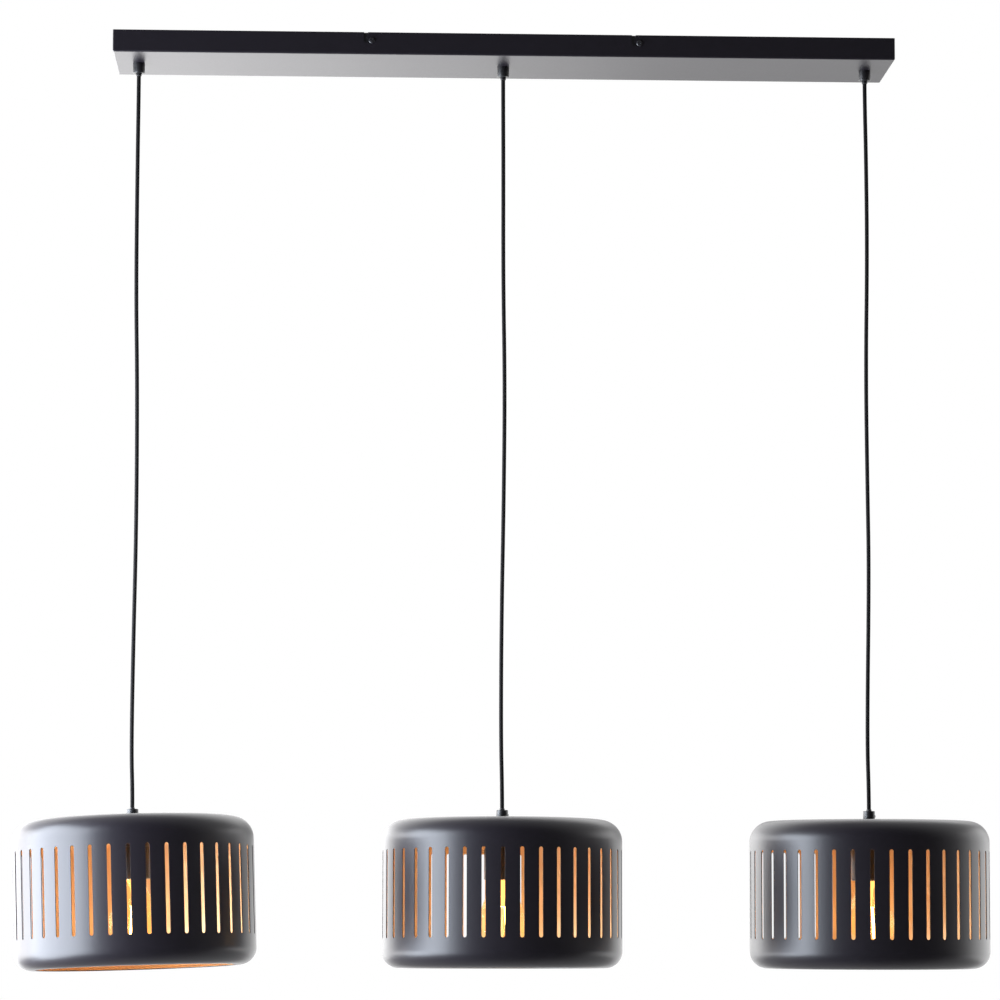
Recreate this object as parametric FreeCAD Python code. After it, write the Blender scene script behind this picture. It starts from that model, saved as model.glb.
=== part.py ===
import FreeCAD, Part
import math
import os

Vector = FreeCAD.Vector
Rotation = FreeCAD.Rotation
Placement = FreeCAD.Placement

# Linear island pendant: three slotted metal drum shades on cords under one long ceiling canopy.
# Every size is in millimetres. The origin lies in the ceiling plane above the middle outlet, X runs
# along the canopy, the front is -Y and Z points up, so the whole lamp hangs below z = 0.

UP = Vector(0, 0, 1)
AHEAD = Vector(0, 1, 0)
ALONG = Vector(1, 0, 0)

# How far a cutting tool runs past the piece, and how much of its shorter run a bend of a cord may take.
OVERRUN = 1.0
BEND_SHARE = 0.45

# The three pendants, with how far each shade leans on its cord: to the side and to the front, in degrees.
PENDANTS = (("left", -1), ("centre", 0), ("right", 1))
LEAN_SIDE = {"left": 1.9, "centre": 0.0, "right": 0.0}
LEAN_FRONT = {"left": 2.0, "centre": 1.0, "right": 0.0}
SHADE_TURN = {"left": 0.5, "centre": -2.1, "right": 2.5}

# Ceiling canopy, a folded and welded sheet box that is open at the top. The outer outlets lie a margin
# inside its ends and the third is in the middle.
CEILING_GAP = 0.3
CANOPY_LENGTH = 915.0
CANOPY_DEPTH = 126.0
CANOPY_HEIGHT = 26.0
OUTLET_MARGIN = 27.5
CANOPY_WALL = 1.0
CANOPY_BEND = 1.9

# Side screws that the canopy hooks over, and the bayonet slots that they enter.
SIDE_SCREW_SPACING = 313.0
SIDE_SCREW_DROP = 10.2
SIDE_SCREW_DIAMETER = 4.0
SIDE_SCREW_HEAD = 7.0
SIDE_SCREW_HEAD_HEIGHT = 2.4
SIDE_SCREW_LENGTH = 8.0
SLOT_CLEARANCE = 0.3
HOOK_TRAVEL = 6.4

# Ceiling bracket, a folded strip with two cross arms.
BRACKET_WALL = 1.5
BRACKET_LENGTH = 372.0
BRACKET_STRIP = 46.0
BRACKET_ARM = 34.0
BRACKET_EAR = 17.0
BRACKET_SIDE_GAP = 0.5
BRACKET_BEND = 2.5
CEILING_HOLE_SPACING = 200.0
CEILING_HOLE_DIAMETER = 5.5
CABLE_HOLE_DIAMETER = 22.0
CABLE_HOLE_OFFSET = 52.0

# Threaded tubes and their nuts, at each outlet and in each shade.
NIPPLE_DIAMETER = 10.0
NIPPLE_BORE = 7.0
NIPPLE_STANDOUT = 1.5
HOLE_CLEARANCE = 0.1
THREAD_CLEARANCE = 0.05
NUT_ACROSS_FLATS = 14.0
NUT_HEIGHT = 3.2
LOCK_WASHER_DIAMETER = 17.0
LOCK_WASHER_THICKNESS = 0.8
SHADE_WASHER_DIAMETER = 26.0
SHADE_WASHER_THICKNESS = 1.2

# Cord grips, the same piece at the canopy and at the shade.
GRIP_DIAMETER = 14.0
GRIP_HEIGHT = 12.0
GRIP_SOCKET_DEPTH = 4.4
GRIP_EDGE = 0.7
GRUB_SCREW_DIAMETER = 3.0
GRUB_SCREW_HEIGHT = 6.2
GRUB_SCREW_STANDOUT = 0.5
FIT_CLEARANCE = 0.06

# Cord, the moulded sleeve at its upper exit and the tip that enters the shade's grip.
CORD_DIAMETER = 4.8
CORD_PLAY = 0.45
CORD_STRAIGHT_END = 20.0
SLEEVE_DIAMETER = 6.6
SLEEVE_LENGTH = 3.5
TIP_DIAMETER = 6.2
TIP_LENGTH = 2.2
SEAT_CLEARANCE = 0.35
CORD_ROOT_LENGTH = 3.0

# Shade: a spun drum with a closed top, an inward rim below and a ring of upright slots.
SHADE_TOP_DROP = 917.0
SHADE_DIAMETER = 280.0
SHADE_HEIGHT = 171.5
SHADE_WALL = 1.0
SHADE_TOP_RADIUS = 25.0
SHADE_BOTTOM_RADIUS = 20.0
SHADE_RIM_LIP = 4.0
SHADE_SLOTS = 40
SHADE_SLOT_WIDTH = 4.6
SHADE_SLOT_LENGTH = 102.5
SHADE_SLOT_TOP = 35.0

# Lamp holder for a screw bulb.
HOLDER_DIAMETER = 42.0
HOLDER_CAP_DIAMETER = 40.0
HOLDER_NECK_DIAMETER = 17.0
HOLDER_NECK_HEIGHT = 4.5
HOLDER_NECK_WALL = 1.0
HOLDER_CAP_HEIGHT = 27.0
HOLDER_SHOULDER = 11.0
HOLDER_SKIRT_HEIGHT = 37.0
HOLDER_WALL = 2.0
HOLDER_LIP = 3.0
HOLDER_MOUTH = 29.6
HOLDER_EDGE = 1.6
INSERT_CLEARANCE = 0.4
INSERT_DECK = 11.0
INSERT_RISE = 5.0
SCREW_SHELL_BORE = 27.2
SCREW_SHELL_WALL = 0.5
CONTACT_DIAMETER = 9.0
CONTACT_THICKNESS = 1.2

# Bulb: screw cap, clear envelope, stem and four light sticks.
BULB_CAP_DIAMETER = 26.2
BULB_CAP_LENGTH = 20.0
BULB_CAP_EDGE = 1.5
BULB_CONE_LENGTH = 4.0
BULB_TIP_DIAMETER = 9.5
BULB_TIP_HEIGHT = 1.4
BULB_NECK_DIAMETER = 28.4
BULB_DIAMETER = 60.0
BULB_GLASS_LENGTH = 80.0
BULB_GLASS_WALL = 0.9
BULB_FLARE_ANGLE = 38.0
BULB_FLARE_SHARE = 0.56
BULB_STEM_DIAMETER = 9.0
BULB_STEM_FOOT = 18.0
BULB_STEM_TIP = 5.4
BULB_STEM_LENGTH = 30.0
STICKS = 4
STICK_DIAMETER = 1.8
STICK_LENGTH = 36.0
STICK_TOP_RADIUS = 4.4
STICK_BOTTOM_RADIUS = 7.6
STICK_WIRE = 0.6

# Wiring in the canopy: a terminal block, the cords' inner ends and their cores.
BLOCK_POLES = 3
BLOCK_PITCH = 11.0
BLOCK_DEPTH = 18.0
BLOCK_HEIGHT = 13.0
BLOCK_ALONG = 66.0
BLOCK_BACK = 24.0
BLOCK_ENTRY = 5.0
BLOCK_ENTRY_HEIGHT = 5.5
CLAMP_LENGTH = 14.0
CLAMP_WALL = 0.6
CLAMP_SCREW = 3.0
CLAMP_SCREW_WELL = 4.0
CLAMP_SCREW_DEPTH = 1.0
CORE_DIAMETER = 2.0
CORE_RING = 1.35
CORE_FAN = 2.2
CORE_FIRST_RUN = 4.0
CORE_CLIMB_END = 11.0
CORE_CROSSING_END = 12.0
CORE_INSET = 5.0
JACKET_END = -30.0
JACKET_PITCH = 14.0
JACKET_LAST_RUN = 13.0
JACKET_LIFT = 0.3
EARTH_STUD_DIAMETER = 4.0
EARTH_STUD_ALONG = 118.0
EARTH_STUD_BACK = -8.0
EARTH_STUD_HEIGHT = 11.0
EARTH_NUT_FLATS = 7.0
EARTH_NUT_HEIGHT = 3.0

# Inner ends of the cords, from the outlet to the front of the terminal block: share of the way along
# from the outlet to the jacket's end, then back, and the height of the jacket's underside over the
# canopy's floor. The last point is set by the block.
JACKET_ROUTES = {
    "left": (
        (0.0, 0, 13),
        (0.044, -3, 10),
        (0.097, -8, 0.3),
        (0.226, -14, 0.3),
        (0.359, -24, 0.3),
        (0.496, -31, 0.3),
        (0.629, -41, 0.3),
        (0.762, -47, 0.3),
        (0.883, -54, 0.3),
        (0.968, -55.5, 0.3),
    ),
    "centre": (
        (0.0, 0, 13),
        (0.115, -24, 9),
        (0.346, -43, 1.5),
        (0.692, -48, 0.5),
    ),
    "right": (
        (0.0, 0, 13),
        (0.063, -3, 10),
        (0.137, -8, 0.3),
        (0.326, -14, 0.3),
        (0.514, -24, 0.3),
        (0.703, -33, 0.3),
        (0.846, -42, 0.3),
        (0.920, -47, 0.3),
        (0.977, -49.5, 0.3),
    ),
}
# Which place in front of the block each jacket takes, and the height of its cores over the entries.
JACKET_PLACE = {"centre": -1, "left": 0, "right": 1}
CORE_LAYER = {"centre": 3.4, "left": 0.4, "right": -2.6}
CORE_SPOT = {"centre": 90.0, "left": 210.0, "right": 330.0}

# Bends of each cord: share of the drop, then how far the cord strays to the right and to the back.
CORD_BENDS = {
    "left": (
        (0.130, -0.7, 0.3),
        (0.300, -1.0, -0.4),
        (0.430, 1.4, 0.5),
        (0.620, 1.8, -0.4),
        (0.790, -0.7, 0.4),
        (0.925, -1.7, 0.2),
    ),
    "centre": (
        (0.120, 0.4, -0.3),
        (0.280, 0.4, 0.5),
        (0.420, 2.5, -0.3),
        (0.580, 1.4, -0.5),
        (0.740, -1.0, 0.4),
        (0.900, -1.6, -0.2),
    ),
    "right": (
        (0.110, 1.3, 0.2),
        (0.240, 1.8, -0.4),
        (0.400, -0.6, 0.3),
        (0.560, 0.6, 0.5),
        (0.680, 1.8, -0.2),
        (0.900, -1.6, 0.3),
    ),
}

# Places, heights and half sizes that follow from the values above.
pendant_spacing = CANOPY_LENGTH / 2 - OUTLET_MARGIN
canopy_rim = -CEILING_GAP
canopy_base = canopy_rim - CANOPY_HEIGHT
canopy_floor = canopy_base + CANOPY_WALL
sleeve_seat = canopy_base - GRIP_HEIGHT
cord_top = sleeve_seat - SLEEVE_LENGTH
tip_seat = GRIP_HEIGHT - SHADE_TOP_DROP
cord_bottom = tip_seat + TIP_LENGTH
shade_radius = SHADE_DIAMETER / 2
slot_half = SIDE_SCREW_DIAMETER / 2 + SLOT_CLEARANCE

# Heights inside a pendant, counted from the top of the shade's grip.
shade_top = -GRIP_HEIGHT
shade_bottom = shade_top - SHADE_HEIGHT
shade_washer_top = shade_top - SHADE_WALL
shade_nut_top = shade_washer_top - SHADE_WASHER_THICKNESS
holder_top = shade_nut_top - NUT_HEIGHT
skirt_top = holder_top - HOLDER_CAP_HEIGHT
skirt_bottom = skirt_top - HOLDER_SKIRT_HEIGHT
lip_top = skirt_bottom + HOLDER_LIP
deck_bottom = skirt_top - INSERT_DECK
contact_bottom = deck_bottom - CONTACT_THICKNESS
bulb_cone_top = contact_bottom - BULB_TIP_HEIGHT
bulb_shell_top = bulb_cone_top - BULB_CONE_LENGTH
bulb_shell_bottom = bulb_shell_top - BULB_CAP_LENGTH
bulb_bottom = bulb_shell_bottom - BULB_GLASS_LENGTH


def block(size_x, size_y, size_z, centre_x, centre_y, low_z):
    """A box centred in plan, standing on low_z."""
    corner = Vector(centre_x - size_x / 2, centre_y - size_y / 2, low_z)
    return Part.makeBox(size_x, size_y, size_z, corner)


def rod(diameter, low_z, high_z, x=0.0, y=0.0):
    """An upright cylinder between two heights."""
    return Part.makeCylinder(diameter / 2, high_z - low_z, Vector(x, y, low_z), UP)


def tube(diameter, bore, low_z, high_z, x=0.0, y=0.0):
    """An upright tube between two heights."""
    return rod(diameter, low_z, high_z, x, y).cut(rod(bore, low_z, high_z, x, y))


def hexagon(across_flats, low_z, high_z):
    """An upright hexagonal bar."""
    corner = across_flats / math.sqrt(3)
    turns = [math.radians(60 * k) for k in range(7)]
    outline = Part.makePolygon([Vector(corner * math.cos(t), corner * math.sin(t), low_z) for t in turns])
    return Part.Face(outline).extrude(UP * (high_z - low_z))


def turned(outline):
    """A solid of revolution about Z from a closed outline of radius and height, with arcs as (mid, end)."""
    edges = []
    start = outline[0]
    for step in outline[1:]:
        if isinstance(step[0], tuple):
            middle, end = step
            edges.append(Part.Arc(flat(start), flat(middle), flat(end)).toShape())
        else:
            end = step
            edges.append(Part.LineSegment(flat(start), flat(end)).toShape())
        start = end
    edges.append(Part.LineSegment(flat(start), flat(outline[0])).toShape())
    return Part.Face(Part.Wire(edges)).revolve(Vector(0, 0, 0), UP, 360)


def flat(point):
    """A point of an outline, set in the XZ plane."""
    return Vector(point[0], 0, point[1])


def on_arc(centre, radius, degrees):
    """A point at an angle on a circle of an outline."""
    angle = math.radians(degrees)
    return (centre[0] + radius * math.cos(angle), centre[1] + radius * math.sin(angle))


def dome(diameter, height, way):
    """A short cylinder on z = 0 with half a ball on its other side; way is 1 for a ball above, -1 below."""
    radius = diameter / 2
    low, high = (-height, 0.0) if way > 0 else (0.0, height)
    return rod(diameter, low, high).fuse(half_ball(radius, way))


def half_ball(radius, way):
    """Half a ball on the plane z = 0."""
    angles = (0, 90) if way > 0 else (-90, 0)
    return Part.makeSphere(radius, Vector(0, 0, 0), UP, angles[0], angles[1], 360)


def route(points, report=None):
    """Straight runs joined by the largest arcs that their lengths allow."""
    edges = []
    start = points[0]
    radii = []
    for before, corner, after in zip(points, points[1:], points[2:]):
        back = (before - corner).normalize()
        ahead = (after - corner).normalize()
        half_turn = (math.pi - back.getAngle(ahead)) / 2
        reach = BEND_SHARE * min((before - corner).Length, (after - corner).Length)
        radius = reach / math.tan(half_turn)
        inward = (back + ahead).normalize()
        enter = corner + back * reach
        leave = corner + ahead * reach
        middle = corner + inward * (radius / math.cos(half_turn) - radius)
        edges.append(Part.LineSegment(start, enter).toShape())
        edges.append(Part.Arc(enter, middle, leave).toShape())
        radii.append(radius)
        start = leave
    edges.append(Part.LineSegment(start, points[-1]).toShape())
    wire = Part.Wire(edges)
    if report:
        print(report, "radii", [round(r) for r in radii], "length", round(wire.Length, 1))
    return wire


def lead(points, diameter, report=None):
    """A round cord or core swept along a route."""
    wire = route(points, report)
    section = Part.Wire(Part.makeCircle(diameter / 2, points[0], points[1] - points[0]))
    solid = wire.makePipeShell([section], True, False)
    if report:
        exact = math.pi * diameter ** 2 / 4 * wire.Length
        print(report, "volume over section times length", round(solid.Volume / exact, 4))
    return solid


def outlet_x(side):
    """Where a pendant hangs along the canopy."""
    return side * pendant_spacing


def at_outlets(solid):
    """One copy of a solid under each outlet."""
    copies = []
    for _, side in PENDANTS:
        copy = solid.copy()
        copy.translate(Vector(outlet_x(side), 0, 0))
        copies.append(copy)
    return Part.Compound(copies)


def hung(solid, name, side):
    """A pendant's piece moved from its own frame to its place, with its shade's lean on the cord."""
    lean = Rotation(AHEAD, -LEAN_SIDE[name]).multiply(Rotation(ALONG, -LEAN_FRONT[name]))
    moved = solid.copy()
    moved.Placement = Placement(Vector(outlet_x(side), 0, tip_seat), lean).multiply(solid.Placement)
    return moved


def canopy():
    """The sheet box with its outlets, its hook slots and the holes of the wiring."""
    outer = block(CANOPY_LENGTH, CANOPY_DEPTH, CANOPY_HEIGHT, 0, 0, canopy_base)
    inner_length = CANOPY_LENGTH - 2 * CANOPY_WALL
    inner_depth = CANOPY_DEPTH - 2 * CANOPY_WALL
    inner = block(inner_length, inner_depth, CANOPY_HEIGHT, 0, 0, canopy_floor)
    outer = outer.makeFillet(CANOPY_BEND, folded_edges(outer, canopy_base))
    inner = inner.makeFillet(CANOPY_BEND - CANOPY_WALL, folded_edges(inner, canopy_floor))
    hole = rod(NIPPLE_DIAMETER + 2 * HOLE_CLEARANCE, canopy_base - OVERRUN, canopy_floor + OVERRUN)
    holes = [at_outlets(hole)]
    for x in (-SIDE_SCREW_SPACING / 2, SIDE_SCREW_SPACING / 2):
        holes.append(hook_slot(x))
    return outer.cut(inner).cut(holes)


def folded_edges(box, low_z):
    """The upright edges of a box and those of its lower face."""
    edges = []
    for edge in box.Edges:
        ends = [vertex.Point.z for vertex in edge.Vertexes]
        upright = abs(ends[0] - ends[1]) > 1
        below = max(ends) < low_z + 0.001
        if upright or below:
            edges.append(edge)
    return edges


def hook_slot(x):
    """A bayonet slot through both long walls: down from the rim, then along to the side screw."""
    front = -CANOPY_DEPTH / 2 - OVERRUN
    across = CANOPY_DEPTH + 2 * OVERRUN
    along = Part.makeBox(HOOK_TRAVEL, across, 2 * slot_half,
                         Vector(x - HOOK_TRAVEL, front, -SIDE_SCREW_DROP - slot_half))
    entry = Part.makeBox(2 * slot_half, across, SIDE_SCREW_DROP + slot_half,
                         Vector(x - HOOK_TRAVEL - slot_half, front, -SIDE_SCREW_DROP))
    seats = []
    for end_x in (x, x - HOOK_TRAVEL):
        start = Vector(end_x, front, -SIDE_SCREW_DROP)
        seats.append(Part.makeCylinder(slot_half, across, start, AHEAD))
    return along.fuse([entry] + seats)


def ceiling_bracket():
    """The strip that is screwed to the ceiling, with two cross arms folded down as ears."""
    width = CANOPY_DEPTH - 2 * CANOPY_WALL - 2 * BRACKET_SIDE_GAP
    plate = block(BRACKET_LENGTH, BRACKET_STRIP, BRACKET_WALL, 0, 0, -BRACKET_WALL)
    arms = []
    for x in (-SIDE_SCREW_SPACING / 2, SIDE_SCREW_SPACING / 2):
        outer = block(BRACKET_ARM, width, BRACKET_EAR, x, 0, -BRACKET_EAR)
        inner_width = width - 2 * BRACKET_WALL
        inner = block(BRACKET_ARM, inner_width, BRACKET_EAR, x, 0, -BRACKET_EAR - BRACKET_WALL)
        outer = outer.makeFillet(BRACKET_BEND, upper_long_edges(outer))
        inner = inner.makeFillet(BRACKET_BEND - BRACKET_WALL, upper_long_edges(inner))
        arms.append(outer.cut(inner))
    holes = []
    below = -BRACKET_WALL - OVERRUN
    for x in (-CEILING_HOLE_SPACING / 2, CEILING_HOLE_SPACING / 2):
        holes.append(rod(CEILING_HOLE_DIAMETER, below, OVERRUN, x))
    holes.append(rod(CABLE_HOLE_DIAMETER, below, OVERRUN, -CABLE_HOLE_OFFSET))
    across = width + 2 * OVERRUN
    for x in (-SIDE_SCREW_SPACING / 2, SIDE_SCREW_SPACING / 2):
        start = Vector(x, -across / 2, -SIDE_SCREW_DROP)
        holes.append(Part.makeCylinder(SIDE_SCREW_DIAMETER / 2 + THREAD_CLEARANCE, across, start, AHEAD))
    return plate.fuse(arms).cut(holes).removeSplitter()


def upper_long_edges(box):
    """The two upper edges of a box that run along X."""
    top = box.BoundBox.ZMax
    edges = []
    for edge in box.Edges:
        high = min(vertex.Point.z for vertex in edge.Vertexes) > top - 0.001
        along_x = abs(edge.Vertexes[0].Point.x - edge.Vertexes[-1].Point.x) > 1
        if high and along_x:
            edges.append(edge)
    return edges


def canopy_screws():
    """Four screws with bevelled heads through the canopy's slots into the bracket's ears."""
    radius = SIDE_SCREW_HEAD / 2
    bevel = SIDE_SCREW_HEAD_HEIGHT / 2
    head = turned([(0, 0), (radius, 0), (radius, bevel), (radius - bevel, SIDE_SCREW_HEAD_HEIGHT),
                   (0, SIDE_SCREW_HEAD_HEIGHT)])
    screw = head.fuse(rod(SIDE_SCREW_DIAMETER, -SIDE_SCREW_LENGTH, 0))
    screws = []
    for x in (-SIDE_SCREW_SPACING / 2, SIDE_SCREW_SPACING / 2):
        for way in (-1, 1):
            placed = screw.copy()
            place = Vector(x, way * CANOPY_DEPTH / 2, -SIDE_SCREW_DROP)
            placed.Placement = Placement(place, Rotation(ALONG, -90 * way))
            screws.append(placed)
    return Part.Compound(screws)


def nipple(low_z, high_z):
    """A threaded tube, drawn at its outer diameter."""
    return tube(NIPPLE_DIAMETER, NIPPLE_BORE, low_z, high_z)


def nut(low_z):
    """The hexagonal nut of a threaded tube."""
    hole = rod(NIPPLE_DIAMETER + 2 * THREAD_CLEARANCE, low_z, low_z + NUT_HEIGHT)
    return hexagon(NUT_ACROSS_FLATS, low_z, low_z + NUT_HEIGHT).cut(hole)


def grip(seat_way):
    """A cord grip with its ball seat on z = 0 and its threaded socket at the far side.

    seat_way is -1 where the seat looks down, at the canopy, and 1 where it looks up, at the shade.
    """
    radius = GRIP_DIAMETER / 2
    edge = GRIP_EDGE
    body = turned([(0, 0), (radius - edge, 0), (radius, edge), (radius, GRIP_HEIGHT), (0, GRIP_HEIGHT)])
    socket = rod(NIPPLE_DIAMETER + 2 * THREAD_CLEARANCE, GRIP_HEIGHT - GRIP_SOCKET_DEPTH, GRIP_HEIGHT)
    bore = rod(CORD_DIAMETER + 2 * CORD_PLAY, 0, GRIP_HEIGHT)
    seat = half_ball(seat_radius(seat_way), 1)
    screw_hole = Part.makeCylinder(GRUB_SCREW_DIAMETER / 2 + FIT_CLEARANCE, radius,
                                   Vector(0, 0, GRUB_SCREW_HEIGHT), AHEAD)
    body = body.cut([socket, bore, seat, screw_hole])
    if seat_way > 0:
        body.rotate(Vector(0, 0, 0), ALONG, 180)
    return body


def seat_radius(seat_way):
    """Radius of the ball seat in a grip, for the sleeve at the canopy or the tip at the shade."""
    ball = SLEEVE_DIAMETER if seat_way < 0 else TIP_DIAMETER
    return ball / 2 + SEAT_CLEARANCE


def grub_screw(height, way):
    """The small screw that clamps the cord in a grip, along Y; way is 1 for the back, -1 for the front."""
    inner = CORD_DIAMETER / 2 + FIT_CLEARANCE
    length = GRIP_DIAMETER / 2 + GRUB_SCREW_STANDOUT - inner
    return Part.makeCylinder(GRUB_SCREW_DIAMETER / 2, length, Vector(0, way * inner, height), AHEAD * way)


def canopy_grip():
    """The grip under an outlet, with its grub screw at the back."""
    pieces = Part.Compound([grip(-1), grub_screw(GRUB_SCREW_HEIGHT, 1)])
    pieces.translate(Vector(0, 0, sleeve_seat))
    return pieces


def cord_root(side):
    """The short stretch of cord that the grub screw holds inside the canopy's grip."""
    low = sleeve_seat + GRUB_SCREW_HEIGHT - CORD_ROOT_LENGTH / 2
    return rod(CORD_DIAMETER, low, low + CORD_ROOT_LENGTH, outlet_x(side))


def cord_sleeve(side):
    """The moulded sleeve that bends with the cord where it leaves the canopy's grip."""
    piece = dome(SLEEVE_DIAMETER, SLEEVE_LENGTH, 1)
    piece.translate(Vector(outlet_x(side), 0, sleeve_seat))
    return piece


def cord_tip(side):
    """The end of the cord, a ball tip that sits in the shade's grip."""
    piece = dome(TIP_DIAMETER, TIP_LENGTH, -1)
    piece.translate(Vector(outlet_x(side), 0, tip_seat))
    return piece


def cord_points(name, side):
    """The cord's route from the sleeve down to the tip."""
    x = outlet_x(side)
    drop = cord_top - cord_bottom
    points = [Vector(x, 0, cord_top), Vector(x, 0, cord_top - CORD_STRAIGHT_END)]
    for share, right, back in CORD_BENDS[name]:
        points.append(Vector(x + right, back, cord_top - share * drop))
    points += [Vector(x, 0, cord_bottom + CORD_STRAIGHT_END), Vector(x, 0, cord_bottom)]
    return points


def shade(name):
    """The spun drum: flat top, large top corner, straight wall with slots, and a rim turned inwards."""
    top, bottom, radius, wall = shade_top, shade_bottom, shade_radius, SHADE_WALL
    big, small = SHADE_TOP_RADIUS, SHADE_BOTTOM_RADIUS
    hole = NIPPLE_DIAMETER / 2 + HOLE_CLEARANCE
    mouth = radius - small - SHADE_RIM_LIP
    top_centre = (radius - big, top - big)
    bottom_centre = (radius - small, bottom + small)
    body = turned([
        (hole, top),
        (radius - big, top),
        (on_arc(top_centre, big, 45), (radius, top - big)),
        (radius, bottom + small),
        (on_arc(bottom_centre, small, -45), (radius - small, bottom)),
        (mouth, bottom),
        (mouth, bottom + wall),
        (radius - small, bottom + wall),
        (on_arc(bottom_centre, small - wall, -45), (radius - wall, bottom + small)),
        (radius - wall, top - big),
        (on_arc(top_centre, big - wall, 45), (radius - big, top - wall)),
        (hole, top - wall),
    ])
    body = body.cut(shade_slots())
    body.rotate(Vector(0, 0, 0), UP, SHADE_TURN[name])
    return body


def shade_slots():
    """Cutters for the ring of upright slots with round ends, the first one at the front."""
    high = shade_top - SHADE_SLOT_TOP - SHADE_SLOT_WIDTH / 2
    low = shade_top - SHADE_SLOT_TOP - SHADE_SLOT_LENGTH + SHADE_SLOT_WIDTH / 2
    reach = 2 * (SHADE_WALL + OVERRUN)
    start = -shade_radius - OVERRUN
    straight = Part.makeBox(SHADE_SLOT_WIDTH, reach, high - low, Vector(-SHADE_SLOT_WIDTH / 2, start, low))
    ends = [Part.makeCylinder(SHADE_SLOT_WIDTH / 2, reach, Vector(0, start, z), AHEAD) for z in (low, high)]
    one = straight.fuse(ends).removeSplitter()
    cutters = []
    for k in range(SHADE_SLOTS):
        copy = one.copy()
        copy.rotate(Vector(0, 0, 0), UP, 360.0 * k / SHADE_SLOTS)
        cutters.append(copy)
    return cutters


def shade_fixings():
    """The threaded tube from grip to holder, and the washer and nut that clamp the shade."""
    hole = NIPPLE_DIAMETER + 2 * THREAD_CLEARANCE
    washer = tube(SHADE_WASHER_DIAMETER, hole, shade_nut_top, shade_washer_top)
    low = holder_top - NUT_HEIGHT - 2 * NIPPLE_STANDOUT
    thread = nipple(low, shade_top + GRIP_SOCKET_DEPTH - NIPPLE_STANDOUT / 3)
    return Part.Compound([thread, washer, nut(holder_top)])


def shade_grip():
    """The grip on a shade, with its grub screw at the right side."""
    body = grip(1)
    body.rotate(Vector(0, 0, 0), UP, 90)
    screw = grub_screw(-GRUB_SCREW_HEIGHT, 1)
    screw.rotate(Vector(0, 0, 0), UP, -90)
    return Part.Compound([body, screw])


def holder_cap():
    """The upper shell of the lamp holder, a neck and a rounded shoulder."""
    neck, cap, wall = HOLDER_NECK_DIAMETER / 2, HOLDER_CAP_DIAMETER / 2, HOLDER_WALL
    socket = NIPPLE_DIAMETER / 2 + THREAD_CLEARANCE
    shoulder_top = holder_top - HOLDER_NECK_HEIGHT
    centre = (cap - HOLDER_SHOULDER, shoulder_top - HOLDER_SHOULDER)
    floor = shoulder_top - wall
    return turned([
        (socket, holder_top),
        (neck, holder_top),
        (neck, shoulder_top),
        (centre[0], shoulder_top),
        (on_arc(centre, HOLDER_SHOULDER, 45), (cap, centre[1])),
        (cap, skirt_top),
        (cap - wall, skirt_top),
        (cap - wall, centre[1]),
        (on_arc(centre, HOLDER_SHOULDER - wall, 45), (centre[0], floor)),
        (neck - HOLDER_NECK_WALL, floor),
        (neck - HOLDER_NECK_WALL, floor - wall),
        (socket, floor - wall),
    ])


def holder_skirt():
    """The lower shell of the lamp holder, with its mouth lip."""
    radius, mouth, edge = HOLDER_DIAMETER / 2, HOLDER_MOUTH / 2, HOLDER_EDGE
    inside = radius - HOLDER_WALL
    corner = (radius - edge, skirt_bottom + edge)
    return turned([
        (inside, skirt_top),
        (radius, skirt_top),
        (radius, skirt_bottom + edge),
        (on_arc(corner, edge, -45), (radius - edge, skirt_bottom)),
        (mouth, skirt_bottom),
        (mouth, lip_top),
        (inside, lip_top),
    ])


def holder_insert():
    """The ceramic core: a deck with the centre contact below it and a sleeve round the screw shell."""
    radius = HOLDER_CAP_DIAMETER / 2 - HOLDER_WALL - INSERT_CLEARANCE
    bore = SCREW_SHELL_BORE / 2 + SCREW_SHELL_WALL + FIT_CLEARANCE
    rise = skirt_top + INSERT_RISE
    return turned([
        (0, rise),
        (radius - HOLDER_WALL, rise),
        (radius, rise - HOLDER_WALL),
        (radius, lip_top),
        (bore, lip_top),
        (bore, deck_bottom),
        (0, deck_bottom),
    ])


def holder_contacts():
    """The screw shell and the centre contact under the deck."""
    shell = tube(SCREW_SHELL_BORE + 2 * SCREW_SHELL_WALL, SCREW_SHELL_BORE, lip_top, deck_bottom)
    return Part.Compound([shell, rod(CONTACT_DIAMETER, contact_bottom, deck_bottom)])


def bulb_cap():
    """The screw cap with its insulating cone and centre tip."""
    shell, tip = BULB_CAP_DIAMETER / 2, BULB_TIP_DIAMETER / 2
    return turned([
        (0, contact_bottom),
        (tip - BULB_TIP_HEIGHT / 2, contact_bottom),
        (tip, bulb_cone_top),
        (shell - BULB_CAP_EDGE, bulb_shell_top),
        (shell, bulb_shell_top - BULB_CAP_EDGE),
        (shell, bulb_shell_bottom),
        (0, bulb_shell_bottom),
    ])


def bulb_outline(inset):
    """Half the envelope: the neck, a flare and the round bowl, drawn in by a wall."""
    neck, bowl = BULB_NECK_DIAMETER / 2 - inset, BULB_DIAMETER / 2 - inset
    bowl_z = bulb_bottom + BULB_DIAMETER / 2
    waist = (neck, bulb_shell_bottom - BULB_NECK_DIAMETER / 4)
    join = on_arc((0, bowl_z), bowl, BULB_FLARE_ANGLE)
    lean = (neck + BULB_FLARE_SHARE * (join[0] - neck), (waist[1] + join[1]) / 2)
    return waist, lean, join, bowl_z, bowl


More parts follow.
